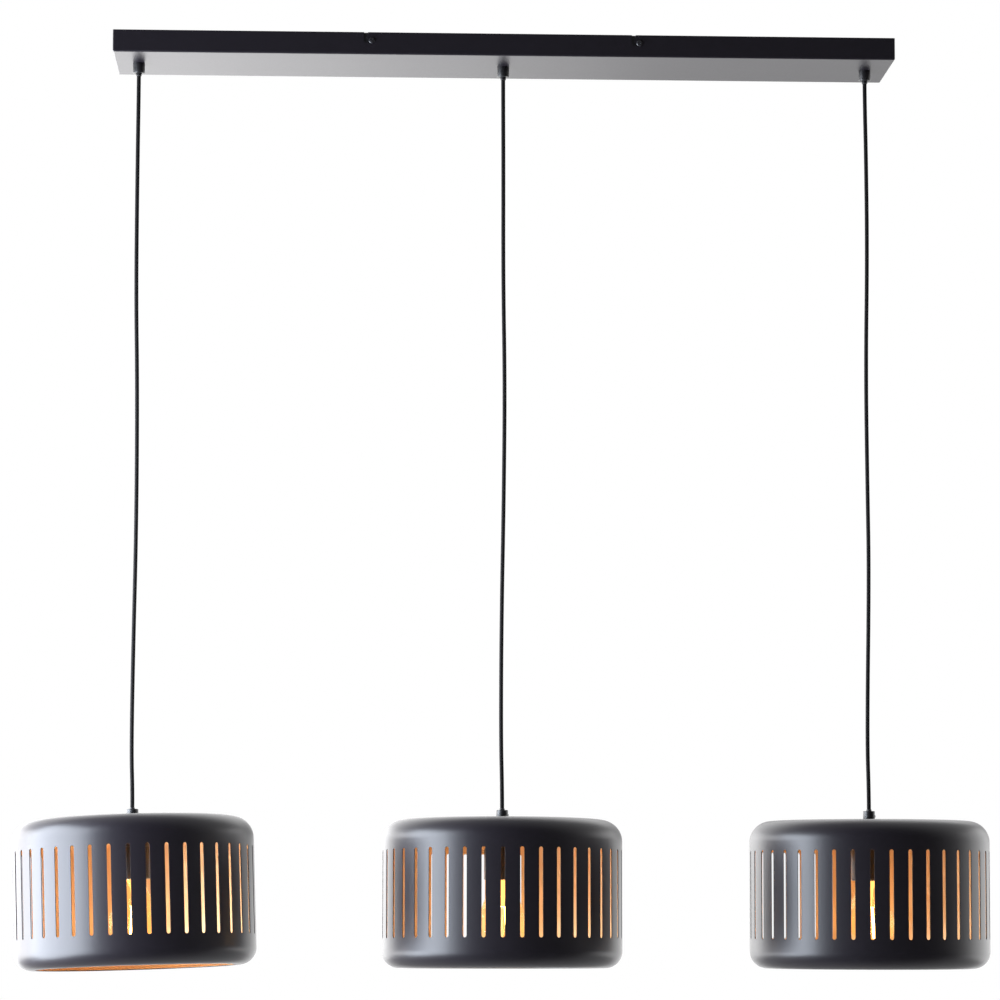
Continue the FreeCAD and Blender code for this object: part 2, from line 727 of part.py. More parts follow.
def bulb_glass():
    """The thin clear envelope, open at its neck."""
    waist, lean, join, bowl_z, bowl = bulb_outline(0.0)
    inner_waist, inner_lean, inner_join, _, inner_bowl = bulb_outline(BULB_GLASS_WALL)
    return turned([
        (waist[0], bulb_shell_bottom),
        waist,
        (lean, join),
        (on_arc((0, bowl_z), bowl, -30), (0, bowl_z - bowl)),
        (0, bowl_z - inner_bowl),
        (on_arc((0, bowl_z), inner_bowl, -30), inner_join),
        (inner_lean, inner_waist),
        (inner_waist[0], bulb_shell_bottom),
    ])


def bulb_stem():
    """The glass stem that stands on the cap and carries the sticks."""
    end = bulb_shell_bottom - BULB_STEM_LENGTH
    return turned([
        (0, bulb_shell_bottom),
        (BULB_STEM_FOOT / 2, bulb_shell_bottom),
        (BULB_STEM_DIAMETER / 2, bulb_shell_bottom - BULB_STEM_DIAMETER),
        (BULB_STEM_TIP / 2, end),
        (0, end),
    ])


def light_sticks():
    """Four light sticks in a slender cone, hung on a hub under the stem."""
    top = bulb_shell_bottom - BULB_STEM_LENGTH - STICK_WIRE
    low = top - STICK_LENGTH
    hub = rod(STICK_TOP_RADIUS * 2 + STICK_DIAMETER, top, top + STICK_WIRE)
    sticks = []
    for k in range(STICKS):
        angle = math.radians(360.0 * (k + 0.5) / STICKS)
        way = Vector(math.cos(angle), math.sin(angle), 0)
        start = way * STICK_TOP_RADIUS + UP * (top + STICK_WIRE / 2)
        end = way * STICK_BOTTOM_RADIUS + UP * low
        sticks.append(Part.makeCylinder(STICK_DIAMETER / 2, (end - start).Length, start, end - start))
    return hub.fuse(sticks)


def terminal_block():
    """The moulded strip with an entry right through each pole and a screw well above it."""
    length = BLOCK_PITCH * BLOCK_POLES
    body = block(length, BLOCK_DEPTH, BLOCK_HEIGHT, BLOCK_ALONG, BLOCK_BACK, canopy_floor)
    cuts = []
    for x in block_poles():
        start = Vector(x, BLOCK_BACK - BLOCK_DEPTH / 2 - OVERRUN, clamp_z())
        across = BLOCK_DEPTH + 2 * OVERRUN
        cuts.append(Part.makeCylinder(clamp_radius() + FIT_CLEARANCE, across, start, AHEAD))
        cuts.append(rod(CLAMP_SCREW_WELL, clamp_z(), canopy_floor + BLOCK_HEIGHT + OVERRUN, x, BLOCK_BACK))
    return body.cut(cuts)


def block_poles():
    """Where the poles of the terminal block lie along the canopy."""
    first = BLOCK_ALONG - BLOCK_PITCH * (BLOCK_POLES - 1) / 2
    return [first + BLOCK_PITCH * k for k in range(BLOCK_POLES)]


def clamp_radius():
    """Outer radius of a brass clamp."""
    return BLOCK_ENTRY / 2 + CLAMP_WALL


def clamp_z():
    """Height of the wire entries."""
    return canopy_floor + BLOCK_ENTRY_HEIGHT


def terminal_clamps():
    """A brass tube in each pole and the screw that stands on it in the well."""
    pieces = []
    top = canopy_floor + BLOCK_HEIGHT
    for x in block_poles():
        start = Vector(x, BLOCK_BACK - CLAMP_LENGTH / 2, clamp_z())
        outside = Part.makeCylinder(clamp_radius(), CLAMP_LENGTH, start, AHEAD)
        inside = Part.makeCylinder(BLOCK_ENTRY / 2, CLAMP_LENGTH, start, AHEAD)
        screw = rod(CLAMP_SCREW, clamp_z(), top - CLAMP_SCREW_DEPTH, x, BLOCK_BACK)
        pieces.append(outside.cut(inside))
        pieces.append(screw.cut(outside))
    return Part.Compound(pieces)


def earth_stud():
    """A welded stud on the canopy's floor with the nut for the supply's earth wire."""
    stud = rod(EARTH_STUD_DIAMETER, canopy_floor, canopy_floor + EARTH_STUD_HEIGHT)
    hole = rod(EARTH_STUD_DIAMETER + 2 * THREAD_CLEARANCE, canopy_floor, canopy_floor + EARTH_NUT_HEIGHT)
    ring = hexagon(EARTH_NUT_FLATS, canopy_floor, canopy_floor + EARTH_NUT_HEIGHT).cut(hole)
    pieces = Part.Compound([stud, ring])
    pieces.translate(Vector(EARTH_STUD_ALONG, EARTH_STUD_BACK, 0))
    return pieces


def jacket_x(name):
    """Where a jacket ends in front of the terminal block."""
    return BLOCK_ALONG + JACKET_PLACE[name] * JACKET_PITCH


def inner_cords():
    """The jacketed ends of the three cords, from the grips to the front of the terminal block."""
    jackets = []
    for name, side in PENDANTS:
        low = sleeve_seat + GRUB_SCREW_HEIGHT + CORD_ROOT_LENGTH / 2 + CORD_PLAY
        points = [Vector(outlet_x(side), 0, low)]
        way = jacket_x(name) - outlet_x(side)
        for share, back, over in JACKET_ROUTES[name]:
            along = outlet_x(side) + share * way
            points.append(Vector(along, back, canopy_floor + CORD_DIAMETER / 2 + over))
        floor_z = canopy_floor + CORD_DIAMETER / 2 + JACKET_LIFT
        points.append(Vector(jacket_x(name), JACKET_END - JACKET_LAST_RUN, floor_z))
        points.append(Vector(jacket_x(name), JACKET_END, floor_z))
        jackets.append(lead(points, CORD_DIAMETER))
    return Part.Compound(jackets)


def cores(pole):
    """One core of each cord, from its jacket to a pole of the terminal block."""
    pieces = []
    entry_x = block_poles()[pole]
    entry_y = BLOCK_BACK - BLOCK_DEPTH / 2
    floor_z = canopy_floor + CORD_DIAMETER / 2 + JACKET_LIFT
    for name, _ in PENDANTS:
        leave = on_arc((jacket_x(name), floor_z), CORE_RING, 90 + 120 * (1 - pole))
        enter = on_arc((entry_x, clamp_z()), CORE_RING, CORE_SPOT[name])
        layer = clamp_z() + CORE_LAYER[name]
        pieces.append(lead([
            Vector(leave[0], JACKET_END, leave[1]),
            Vector(leave[0], JACKET_END + CORE_FIRST_RUN, leave[1]),
            Vector(leave[0] + CORE_FAN * (pole - 1), JACKET_END + CORE_CLIMB_END, layer),
            Vector(enter[0], entry_y - CORE_CROSSING_END, layer),
            Vector(enter[0], entry_y - CORE_FIRST_RUN, enter[1]),
            Vector(enter[0], entry_y + CORE_INSET, enter[1]),
        ], CORE_DIAMETER))
    return Part.Compound(pieces)


def save(name, shape):
    """Writes one node and reports what it holds."""
    facets = sum(len(solid.tessellate(0.4)[1]) for solid in shape.Solids)
    print(name, "solids", len(shape.Solids), "valid", shape.isValid(), "facets", facets)
    shape.exportStep("parts/" + name + ".step")


def canopy_side():
    """The pieces that stay with the ceiling and the canopy."""
    nipple_low = canopy_base - GRIP_SOCKET_DEPTH + NIPPLE_STANDOUT / 3
    washer_top = canopy_floor + LOCK_WASHER_THICKNESS
    nipple_top = washer_top + NUT_HEIGHT + NIPPLE_STANDOUT
    nut_hole = NIPPLE_DIAMETER + 2 * THREAD_CLEARANCE
    washer = tube(LOCK_WASHER_DIAMETER, nut_hole, canopy_floor, washer_top)
    return {
        "ceiling_bracket": ceiling_bracket(),
        "canopy_screws": canopy_screws(),
        "canopy": canopy(),
        "canopy_nipples": at_outlets(nipple(nipple_low, nipple_top)),
        "canopy_fixings": at_outlets(Part.Compound([washer, nut(washer_top)])),
        "canopy_grips": at_outlets(canopy_grip()),
        "inner_cords": inner_cords(),
        "live_cores": cores(0),
        "neutral_cores": cores(1),
        "earth_cores": cores(2),
        "terminal_block": terminal_block(),
        "terminal_clamps": terminal_clamps(),
        "earth_stud": earth_stud(),
    }


def pendant(name, side):
    """The pieces of one pendant, from the canopy's grip down to the bulb."""
    pieces = {
        "cord_root": cord_root(side),
        "cord_sleeve": cord_sleeve(side),
        "cord": lead(cord_points(name, side), CORD_DIAMETER, "cord_" + name),
        "cord_tip": cord_tip(side),
    }
    own_frame = {
        "shade_grip": shade_grip(),
        "shade_fixings": shade_fixings(),
        "shade": shade(name),
        "holder_cap": holder_cap(),
        "holder_skirt": holder_skirt(),
        "holder_insert": holder_insert(),
        "holder_contacts": holder_contacts(),
        "bulb_cap": bulb_cap(),
        "bulb_glass": bulb_glass(),
        "bulb_stem": bulb_stem(),
        "bulb_sticks": light_sticks(),
    }
    for piece, solid in own_frame.items():
        pieces[piece] = hung(solid, name, side)
    return pieces


def main():
    os.makedirs("parts", exist_ok=True)
    for piece, solid in canopy_side().items():
        save(piece, solid)
    for name, side in PENDANTS:
        for piece, solid in pendant(name, side).items():
            save(piece + "_" + name, solid)


main()
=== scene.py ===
"""Linear island pendant: three slotted drum shades with copper insides under one long ceiling canopy.

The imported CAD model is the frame. Each visible piece is modelled again round it with smooth edges and
its real finish, and rides on the CAD body that it belongs to. Lengths are in metres, in the CAD's frame:
the origin in the ceiling plane above the middle outlet, X along the canopy, the front at -Y, Z up.
"""

import math

import bmesh
import bpy
from bpy.props import FloatProperty, FloatVectorProperty, IntProperty, PointerProperty
from mathutils import Matrix, Vector


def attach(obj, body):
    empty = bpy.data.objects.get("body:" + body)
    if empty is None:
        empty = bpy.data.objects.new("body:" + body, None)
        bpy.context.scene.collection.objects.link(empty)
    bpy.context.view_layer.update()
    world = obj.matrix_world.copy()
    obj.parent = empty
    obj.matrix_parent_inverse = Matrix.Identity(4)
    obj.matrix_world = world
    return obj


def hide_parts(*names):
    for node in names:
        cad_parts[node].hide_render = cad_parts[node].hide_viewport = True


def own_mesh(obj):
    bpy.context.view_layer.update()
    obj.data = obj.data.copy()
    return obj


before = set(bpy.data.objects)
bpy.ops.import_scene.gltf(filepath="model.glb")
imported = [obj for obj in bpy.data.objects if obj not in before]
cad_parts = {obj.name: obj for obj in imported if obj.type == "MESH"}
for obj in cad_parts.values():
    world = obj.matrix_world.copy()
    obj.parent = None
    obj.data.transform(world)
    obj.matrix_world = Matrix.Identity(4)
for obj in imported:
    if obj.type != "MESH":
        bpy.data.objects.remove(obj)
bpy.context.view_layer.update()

bl_info = {
    "name": "Linear island pendant",
    "version": (1, 0, 0),
    "blender": (4, 5, 0),
    "location": "View3D > Sidebar > Pendant",
    "description": "Builds a ceiling canopy with three slotted drum pendants",
    "category": "Add Mesh",
}

MM = 0.001

# The three pendants: their side of the middle, how far the shade leans, and how far it is turned.
SIDES = {"left": -1, "centre": 0, "right": 1}
LEAN_SIDE = {"left": 1.9, "centre": 0.0, "right": 0.0}
LEAN_FRONT = {"left": 2.0, "centre": 1.0, "right": 0.0}
SHADE_TURN = {"left": 0.5, "centre": -2.1, "right": 2.5}

# Heights of the main joints between pieces, under the ceiling.
CANOPY_RIM = -0.0003
CANOPY_FLOOR = -0.0253
SLEEVE_SEAT = -0.0383
CORD_TOP = -0.0418
TIP_SEAT = -0.905
CORD_BOTTOM = -0.9028

# Heights inside a pendant, counted from the top of the shade's grip.
GRIP_HEIGHT = 0.012
SHADE_TOP = -0.012
HOLDER_TOP = -0.0174
SKIRT_TOP = -0.0444
SKIRT_BOTTOM = -0.0814
CONTACT_BOTTOM = -0.0566
BULB_SHELL_BOTTOM = -0.082

# Bends of each hanging cord in millimetres: share of the drop, then the stray to the right and the back.
CORD_BENDS = {
    "left": ((0.130, -0.7, 0.3), (0.300, -1.0, -0.4), (0.430, 1.4, 0.5),
             (0.620, 1.8, -0.4), (0.790, -0.7, 0.4), (0.925, -1.7, 0.2)),
    "centre": ((0.120, 0.4, -0.3), (0.280, 0.4, 0.5), (0.420, 2.5, -0.3),
               (0.580, 1.4, -0.5), (0.740, -1.0, 0.4), (0.900, -1.6, -0.2)),
    "right": ((0.110, 1.3, 0.2), (0.240, 1.8, -0.4), (0.400, -0.6, 0.3),
              (0.560, 0.6, 0.5), (0.680, 1.8, -0.2), (0.900, -1.6, 0.3)),
}
CORD_STRAIGHT_END = 0.020

# Inner ends of the cords on the canopy's floor: share of the way from the outlet to the jacket's end, then
# back and the height of the underside in millimetres.
JACKET_ROUTES = {
    "left": ((0.0, 0, 13), (0.044, -3, 10), (0.097, -8, 0.3), (0.226, -14, 0.3), (0.359, -24, 0.3),
             (0.496, -31, 0.3), (0.629, -41, 0.3), (0.762, -47, 0.3), (0.883, -54, 0.3),
             (0.968, -55.5, 0.3)),
    "centre": ((0.0, 0, 13), (0.115, -24, 9), (0.346, -43, 1.5), (0.692, -48, 0.5)),
    "right": ((0.0, 0, 13), (0.063, -3, 10), (0.137, -8, 0.3), (0.326, -14, 0.3), (0.514, -24, 0.3),
              (0.703, -33, 0.3), (0.846, -42, 0.3), (0.920, -47, 0.3), (0.977, -49.5, 0.3)),
}
JACKET_LOW = -0.03015
JACKET_END = -0.030
JACKET_LAST_RUN = 0.013
JACKET_LIFT = 0.0003
JACKET_ENDS = {"centre": 0.052, "left": 0.066, "right": 0.080}
CORE_DIAMETER = 0.002
CORE_RING = 0.00135
CORE_FAN = 0.0022
CORE_FIRST_RUN = 0.004
CORE_CLIMB_END = 0.011
CORE_CROSSING_END = 0.012
CORE_INSET = 0.005
CORE_LAYER = {"centre": 0.0034, "left": 0.0004, "right": -0.0026}
CORE_SPOT = {"centre": 90.0, "left": 210.0, "right": 330.0}
CORE_NODES = ("live_cores", "neutral_cores", "earth_cores")
CORE_SLOTS = ("brown_core", "blue_core", "green_yellow_core")
POLE_X = (0.055, 0.066, 0.077)
POLE_FRONT = 0.015
POLE_Z = CANOPY_FLOOR + 0.0055

# Cord grips, with heights counted from the seat: play round the held moulding and round the cord, the socket
# for the threaded tube, where the cord's bore begins, and the grub screw. On the mouldings that the grips hold:
# the eased edge, and the middle of the dome as shares of its radius, out and along.
SEAT_PLAY = 0.00035
CORD_PLAY = 0.00045
TUBE_RADIUS = 0.00505
SOCKET_FLOOR = 0.0076
BORE_LOW = 0.0023
GRUB_SCREW_HEIGHT = 0.0062
MOULDING_EASE = 0.0006
DOME_SHARES = (0.72, 0.69)

# The canopy's hook slots: half their width, and how far a cutter reaches through the wall.
HOOK_HALF = 0.0023
HOOK_CUT = 0.008

# Lamp holder: the collar round the tube, the wall and the rim of the skirt. Bulb: the thread on its screw cap,
# the angle at which bowl and neck of the glass meet and how much the neck curves, the sticks with the rings
# that their upper and lower ends stand on, their hub, and the place and size of the light under the cap.
COLLAR_RADIUS = 0.0085
COLLAR_HEIGHT = 0.0045
HOLDER_WALL = 0.002
HOLDER_RIM = 0.003
THREAD_TURNS = 5
THREAD_START = 0.0078
THREAD_PITCH = 0.0029
THREAD_DEPTH = 0.0008
GLASS_JOIN = 38.0
NECK_CURVE = 0.45
STICK_COUNT = 4
STICK_RINGS = (0.0044, 0.0076)
STICK_RADIUS = 0.0009
STICK_SIDES = 20
HUB_HEIGHT = 0.0006
BULB_LIGHT_DROP = 0.049
BULB_LIGHT_SIZE = 0.012

# Finish of each CAD node whose shape is kept; the second group has one of each in every pendant.
KEPT_NODES = {
    "ceiling_bracket": "black_coat", "canopy_nipples": "zinc", "canopy_fixings": "zinc",
    "terminal_block": "white", "terminal_clamps": "brass", "earth_stud": "zinc",
}
KEPT_IN_PENDANTS = {
    "cord_root_": "jacket", "shade_fixings_": "zinc", "holder_insert_": "steatite", "holder_contacts_": "brass",
}

# Steps across a slot, across the rib beside it and round a corner of the drum's profile; radii of the rings
# in the drum's flat top, the bands of faces beside its shoulder and above and below its slots, and the width
# of its softened edges.
SLOT_STEPS = 6
RIB_STEPS = 3
CORNER_STEPS = 12
TOP_RINGS = (0.02, 0.06)
SHOULDER_BAND = 0.012
SLOT_BAND = 0.0055
DRUM_EDGE = 0.00018

# The photographer's place, 4.5 m in front, level with the shades and looking slightly up; turns in degrees.
CAMERA_PLACE = (-0.1985, -4.5, -1.0285)
CAMERA_TURN = (94.51, -0.09, -2.46)
CAMERA_LENS = 138.9
CAMERA_SHIFT = (0.0025, 0.112)

# Floor and surround: reach of the floor, its grey, and how white it shows. In gloss both turn from dim to white
# between two depths, and matt surfaces get the soft level from all round.
FLOOR_REACH = 20.0
FLOOR_GREY = (0.8, 0.8, 0.8, 1.0)
FLOOR_SHARE = 0.85
FLOOR_RAMP = (-0.8, 0.2)
SURROUND_RAMP = (-0.6, 0.2)
DIM_LEVEL = 0.03
SOFT_LEVEL = 0.7
WHITE = (1.0, 1.0, 1.0, 1.0)

# Light panels: name, which is also that of its power, place, the point that it faces, width and height.
PANELS = (
    ("softbox", (-1.19, -0.38, -0.9), (0.0, -0.38, -0.9), (1.1, 1.4)),
    ("backdrop_high", (-0.7, 2.2, 1.3), (-0.7, 0.0, 1.3), (5.0, 2.6)),
    ("backdrop_low", (-0.7, 2.2, -1.45), (-0.7, 0.0, -1.45), (5.0, 1.1)),
    # The middle of the backdrop fades to the right: panels one behind another, each ending further out.
    *(("backdrop_fade", (x, y, -0.45), (x, 0.0, -0.45), (2.8, 0.9))
      for x, y in ((-1.8, 2.2), (-1.55, 2.22), (-1.3, 2.24), (-1.1, 2.26))),
    ("rim_left", (-2.16, 0.89, -0.9), (-0.03, -0.12, -0.9), (0.94, 1.6)),
    ("back_left", (-1.49, 1.96, -0.9), (0.0, 0.0, -0.9), (1.5, 1.6)),
    ("rim_right", (2.1, 1.1, -0.9), (0.0, 0.0, -0.9), (1.7, 1.8)),
)


# Settings.

def length(label, text, default):
    """A length property of a size group."""
    return FloatProperty(name=label, description=text, default=default, min=0.0, unit="LENGTH", precision=4)


def watts(label, text, default):
    """A power property of the light group."""
    return FloatProperty(name=label, description=text, default=default, min=0.0, unit="POWER")


def shade_of(label, text, code):
    """A colour property, given as an sRGB hex code."""
    return FloatVectorProperty(name=label, description=text, default=linear(code), size=3, min=0.0, max=1.0,
                               subtype="COLOR")


def linear(code):
    """An sRGB hex code such as '#2b2a2d' as linear red, green and blue."""
    channels = [int(code[i:i + 2], 16) / 255 for i in (1, 3, 5)]
    return tuple(c / 12.92 if c <= 0.04045 else ((c + 0.055) / 1.055) ** 2.4 for c in channels)


class PendantCanopySizes(bpy.types.PropertyGroup):
    length: length("Length", "Length of the canopy", 0.915)
    depth: length("Depth", "Depth of the canopy from front to back", 0.126)
    height: length("Height", "Height of the canopy's walls", 0.026)
    wall: length("Sheet", "Thickness of the canopy's sheet", 0.001)
    bend: length("Bend radius", "Outer radius of the folded edges", 0.0019)
    screw_spacing: length("Screw spacing", "Distance between the two side screws", 0.313)
    screw_drop: length("Screw drop", "Height of the side screws under the ceiling", 0.0102)
    screw_head: length("Screw head", "Diameter of a side screw's head", 0.007)
    hook_travel: length("Hook travel", "How far the canopy slides to its entry notches", 0.0064)
    spacing: length("Pendant spacing", "Distance between two outlets", 0.430)


class PendantCordSizes(bpy.types.PropertyGroup):
    diameter: length("Cord", "Diameter of the cord", 0.0048)
    sleeve: length("Sleeve", "Diameter of the sleeve at the upper exit", 0.0066)
    tip: length("Tip", "Diameter of the tip at the shade", 0.0062)
    grip: length("Grip", "Diameter of a cord grip", 0.014)


class PendantShadeSizes(bpy.types.PropertyGroup):
    diameter: length("Diameter", "Outer diameter of the drum", 0.280)
    height: length("Height", "Height of the drum", 0.1715)
    wall: length("Wall", "Thickness of the spun metal", 0.001)
    top_radius: length("Top radius", "Radius of the upper corner", 0.025)
    bottom_radius: length("Bottom radius", "Radius of the lower corner", 0.020)
    lip: length("Lip", "Width of the rim that is turned inwards", 0.004)
    hole: length("Hole", "Diameter of the hole for the threaded tube", 0.0102)
    slots: IntProperty(name="Slots", description="Number of upright slots", default=40, min=8)
    slot_width: length("Slot width", "Width of a slot", 0.0046)
    slot_length: length("Slot length", "Length of a slot", 0.1025)
    slot_top: length("Slot top", "Distance from the drum's top to the slots", 0.035)


class PendantBulbSizes(bpy.types.PropertyGroup):
    holder: length("Holder", "Diameter of the holder's skirt", 0.042)
    holder_cap: length("Holder cap", "Diameter of the holder's cap", 0.040)
    mouth: length("Mouth", "Diameter of the holder's mouth", 0.0296)
    screw_cap: length("Screw cap", "Diameter of the bulb's screw cap", 0.0262)
    neck: length("Neck", "Diameter of the glass at the cap", 0.0284)
    bowl: length("Bowl", "Largest diameter of the glass", 0.060)
    glass: length("Glass length", "Length of the glass below the cap", 0.080)
    glass_wall: length("Glass wall", "Thickness of the glass", 0.0009)
    stem: length("Stem length", "Length of the stem inside the glass", 0.030)
    sticks: length("Stick length", "Length of the light sticks", 0.036)


class PendantColours(bpy.types.PropertyGroup):
    outside: shade_of("Powder coat", "Outside of canopy and shades", "#151218")
    inside: shade_of("Copper lacquer", "Inside of the shades", "#d4aa76")
    plastic: shade_of("Black plastic", "Grips, sleeves and lamp holders", "#141315")
    jacket: shade_of("Cord", "Jacket of the cords", "#0e0d0e")
    # The glow colour serves the light sticks and the glow painted on the bulb's glass.
    glow: shade_of("Glow", "Colour of the sticks and the lit glass", "#ffe09a")
    bulb_light: shade_of("Bulb light", "Colour of the light that a bulb gives", "#ffefcd")
    softbox: shade_of("Softbox", "Colour of the softbox", "#e8f1fd")


class PendantLight(bpy.types.PropertyGroup):
    softbox: watts("Softbox", "Power of the large softbox at the left", 107.0)
    backdrop_high: watts("High backdrop", "Power of the wide panel high behind the lamp", 78.0)
    backdrop_low: watts("Low backdrop", "Power of the wide panel behind the shades", 31.0)
    backdrop_fade: watts("Fading backdrop", "Power of each panel of the middle backdrop", 5.7)
    rim_left: watts("Left rim", "Power of the panel behind the softbox", 42.0)
    back_left: watts("Back left", "Power of the panel behind the left end", 21.0)
    rim_right: watts("Right rim", "Power of the panel behind the right end", 23.0)
    bulb: watts("Bulb", "Power of each lit bulb", 0.22)
    floor: length("Floor depth", "How far the floor lies under the ceiling", 1.9)


class PendantSettings(bpy.types.PropertyGroup):
    canopy: PointerProperty(type=PendantCanopySizes)
    cord: PointerProperty(type=PendantCordSizes)
    shade: PointerProperty(type=PendantShadeSizes)
    bulb: PointerProperty(type=PendantBulbSizes)
    colours: PointerProperty(type=PendantColours)
    light: PointerProperty(type=PendantLight)


def settings():
    """The scene's pendant settings."""
    return bpy.context.scene.pendant_lamp


# Mesh helpers.

def mesh_object(name, bm, materials, sharp=35.0):
    """A new object from a bmesh, smooth but for edges sharper than an angle."""
    for face in bm.faces:
        face.smooth = True
    mark_sharp(bm, sharp)
    mesh = bpy.data.meshes.new(name)
    bm.to_mesh(mesh)
    bm.free()
    return placed(name, mesh, materials)


def mark_sharp(bm, sharp):
    """Marks the edges between two faces that meet at more than an angle."""
    for edge in bm.edges:
        edge.smooth = len(edge.link_faces) != 2 or edge.calc_face_angle(0.0) < math.radians(sharp)


def placed(name, mesh, materials):
    """An object in the scene that holds a mesh and its materials."""
    mesh.name = name
    piece = bpy.data.objects.new(name, mesh)
    bpy.context.scene.collection.objects.link(piece)
    mesh.materials.clear()
    for material in materials:
        mesh.materials.append(material)
    return piece


def modify(piece, name, kind, **values):
    """A modifier on a piece, with its settings."""
    modifier = piece.modifiers.new(name, kind)
    for key, value in values.items():
        setattr(modifier, key, value)


def fit(piece, body, slot, *nodes):
    """Puts a piece on its body and hides the CAD nodes that it stands for."""
    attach(piece, body)
    if nodes:
        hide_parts(*nodes)


def spun(outline, steps=64):
    """A bmesh of revolution about Z from an outline of (radius, height) or (radius, height, corner radius)."""
    bm = bmesh.new()
    verts = [bm.verts.new((point[0], 0.0, point[1])) for point in outline]
    for pair in zip(verts, verts[1:] + verts[:1]):
        bm.edges.new(pair)
    for vert, point in zip(verts, outline):
        if len(point) > 2:
            round_corner(bm, vert, point[2])
    bmesh.ops.spin(bm, geom=bm.verts[:] + bm.edges[:], cent=(0, 0, 0), axis=(0, 0, 1), dvec=(0, 0, 0),
                   angle=math.tau, steps=steps, use_merge=True, use_duplicate=False)
    bmesh.ops.remove_doubles(bm, verts=bm.verts, dist=0.000002)
    bmesh.ops.recalc_face_normals(bm, faces=bm.faces)
    return bm


def round_corner(bm, vert, radius):
    """Rounds one corner of an outline."""
    segments = max(2, min(12, round(radius / (0.8 * MM)) + 2))
    half = (math.pi - corner_angle(vert)) / 2
    bmesh.ops.bevel(bm, geom=[vert], offset=radius * math.tan(half), offset_type="OFFSET", segments=segments,
                    profile=0.5, affect="VERTICES", material=-1)


def corner_angle(vert):
    """The angle between the two edges that meet at a corner of an outline."""
    ways = [edge.other_vert(vert).co - vert.co for edge in vert.link_edges]
    return ways[0].angle(ways[1])


def merged(parts):
    """One bmesh from several."""
    whole = bmesh.new()
    for bm in parts:
        mesh = bpy.data.meshes.new("part")
        bm.to_mesh(mesh)
        bm.free()
        whole.from_mesh(mesh)
        bpy.data.meshes.remove(mesh)
    return whole


def moved(bm, matrix):
    """A bmesh after a move."""
    bmesh.ops.transform(bm, matrix=matrix, verts=bm.verts)
    return bm


def turned(degrees, axis):
    """A turn about one axis."""
    return Matrix.Rotation(math.radians(degrees), 4, axis)


def box_mesh(centre, size):
    """A bmesh box of a size round its centre."""
    bm = bmesh.new()
    bmesh.ops.create_cube(bm, size=1.0)
    bmesh.ops.scale(bm, vec=size, verts=bm.verts)
    bmesh.ops.translate(bm, vec=centre, verts=bm.verts)
    return bm


def outlet(side):
    """Where a pendant hangs along the canopy."""
    return SIDES[side] * settings().canopy.spacing


def pendant_place(side):
    """From a pendant's own frame, with its origin at the top of the shade's grip, to the lamp's frame."""
    lean = turned(-LEAN_SIDE[side], "Y") @ turned(-LEAN_FRONT[side], "X")
    return Matrix.Translation((outlet(side), 0, TIP_SEAT)) @ lean


def smooth_tube(name, points, diameter, materials):
    """A round cord on a smooth line that a route's points steer, and the points of that line."""
    curve = bpy.data.curves.new(name, "CURVE")
    curve.dimensions = "3D"
    curve.resolution_u = 12
    spline = curve.splines.new("NURBS")
    spline.points.add(len(points) - 1)
    for target, point in zip(spline.points, points):
        target.co = (*point, 1.0)
    spline.order_u = 3
    spline.use_endpoint_u = True
    guide = bpy.data.objects.new(name + "_line", curve)
    line = bpy.data.meshes.new_from_object(guide)
    path = [tuple(vert.co) for vert in line.vertices]
    curve.bevel_depth = diameter / 2
    curve.bevel_resolution = 6
    curve.use_fill_caps = True
    mesh = bpy.data.meshes.new_from_object(guide)
    bpy.data.objects.remove(guide)
    bpy.data.meshes.remove(line)
    for polygon in mesh.polygons:
        polygon.use_smooth = len(polygon.vertices) == 4
    return placed(name, mesh, materials), path


# Materials.

def add(tree, kind, links=None, **values):
    """A node with its settings and input values, and links from other nodes' outputs."""
    node = tree.nodes.new(kind)
    for key, value in values.items():
        if hasattr(node, key):
            setattr(node, key, value)
        else:
            node.inputs[key.replace("_", " ")].default_value = value
    for target, source in (links or {}).items():
        tree.links.new(source, node.inputs[target])
    return node


def new_material(name):
    """A node material with its output, and the object coordinates that its patterns read."""
    material = bpy.data.materials.new(name)
    material.use_nodes = True
    tree = material.node_tree
    tree.nodes.clear()
    output = add(tree, "ShaderNodeOutputMaterial")
    return material, tree, output, add(tree, "ShaderNodeTexCoord").outputs["Object"]


def per_mm(size):
    """Scale of a pattern whose features are a given number of millimetres apart."""
    return 1000.0 / size


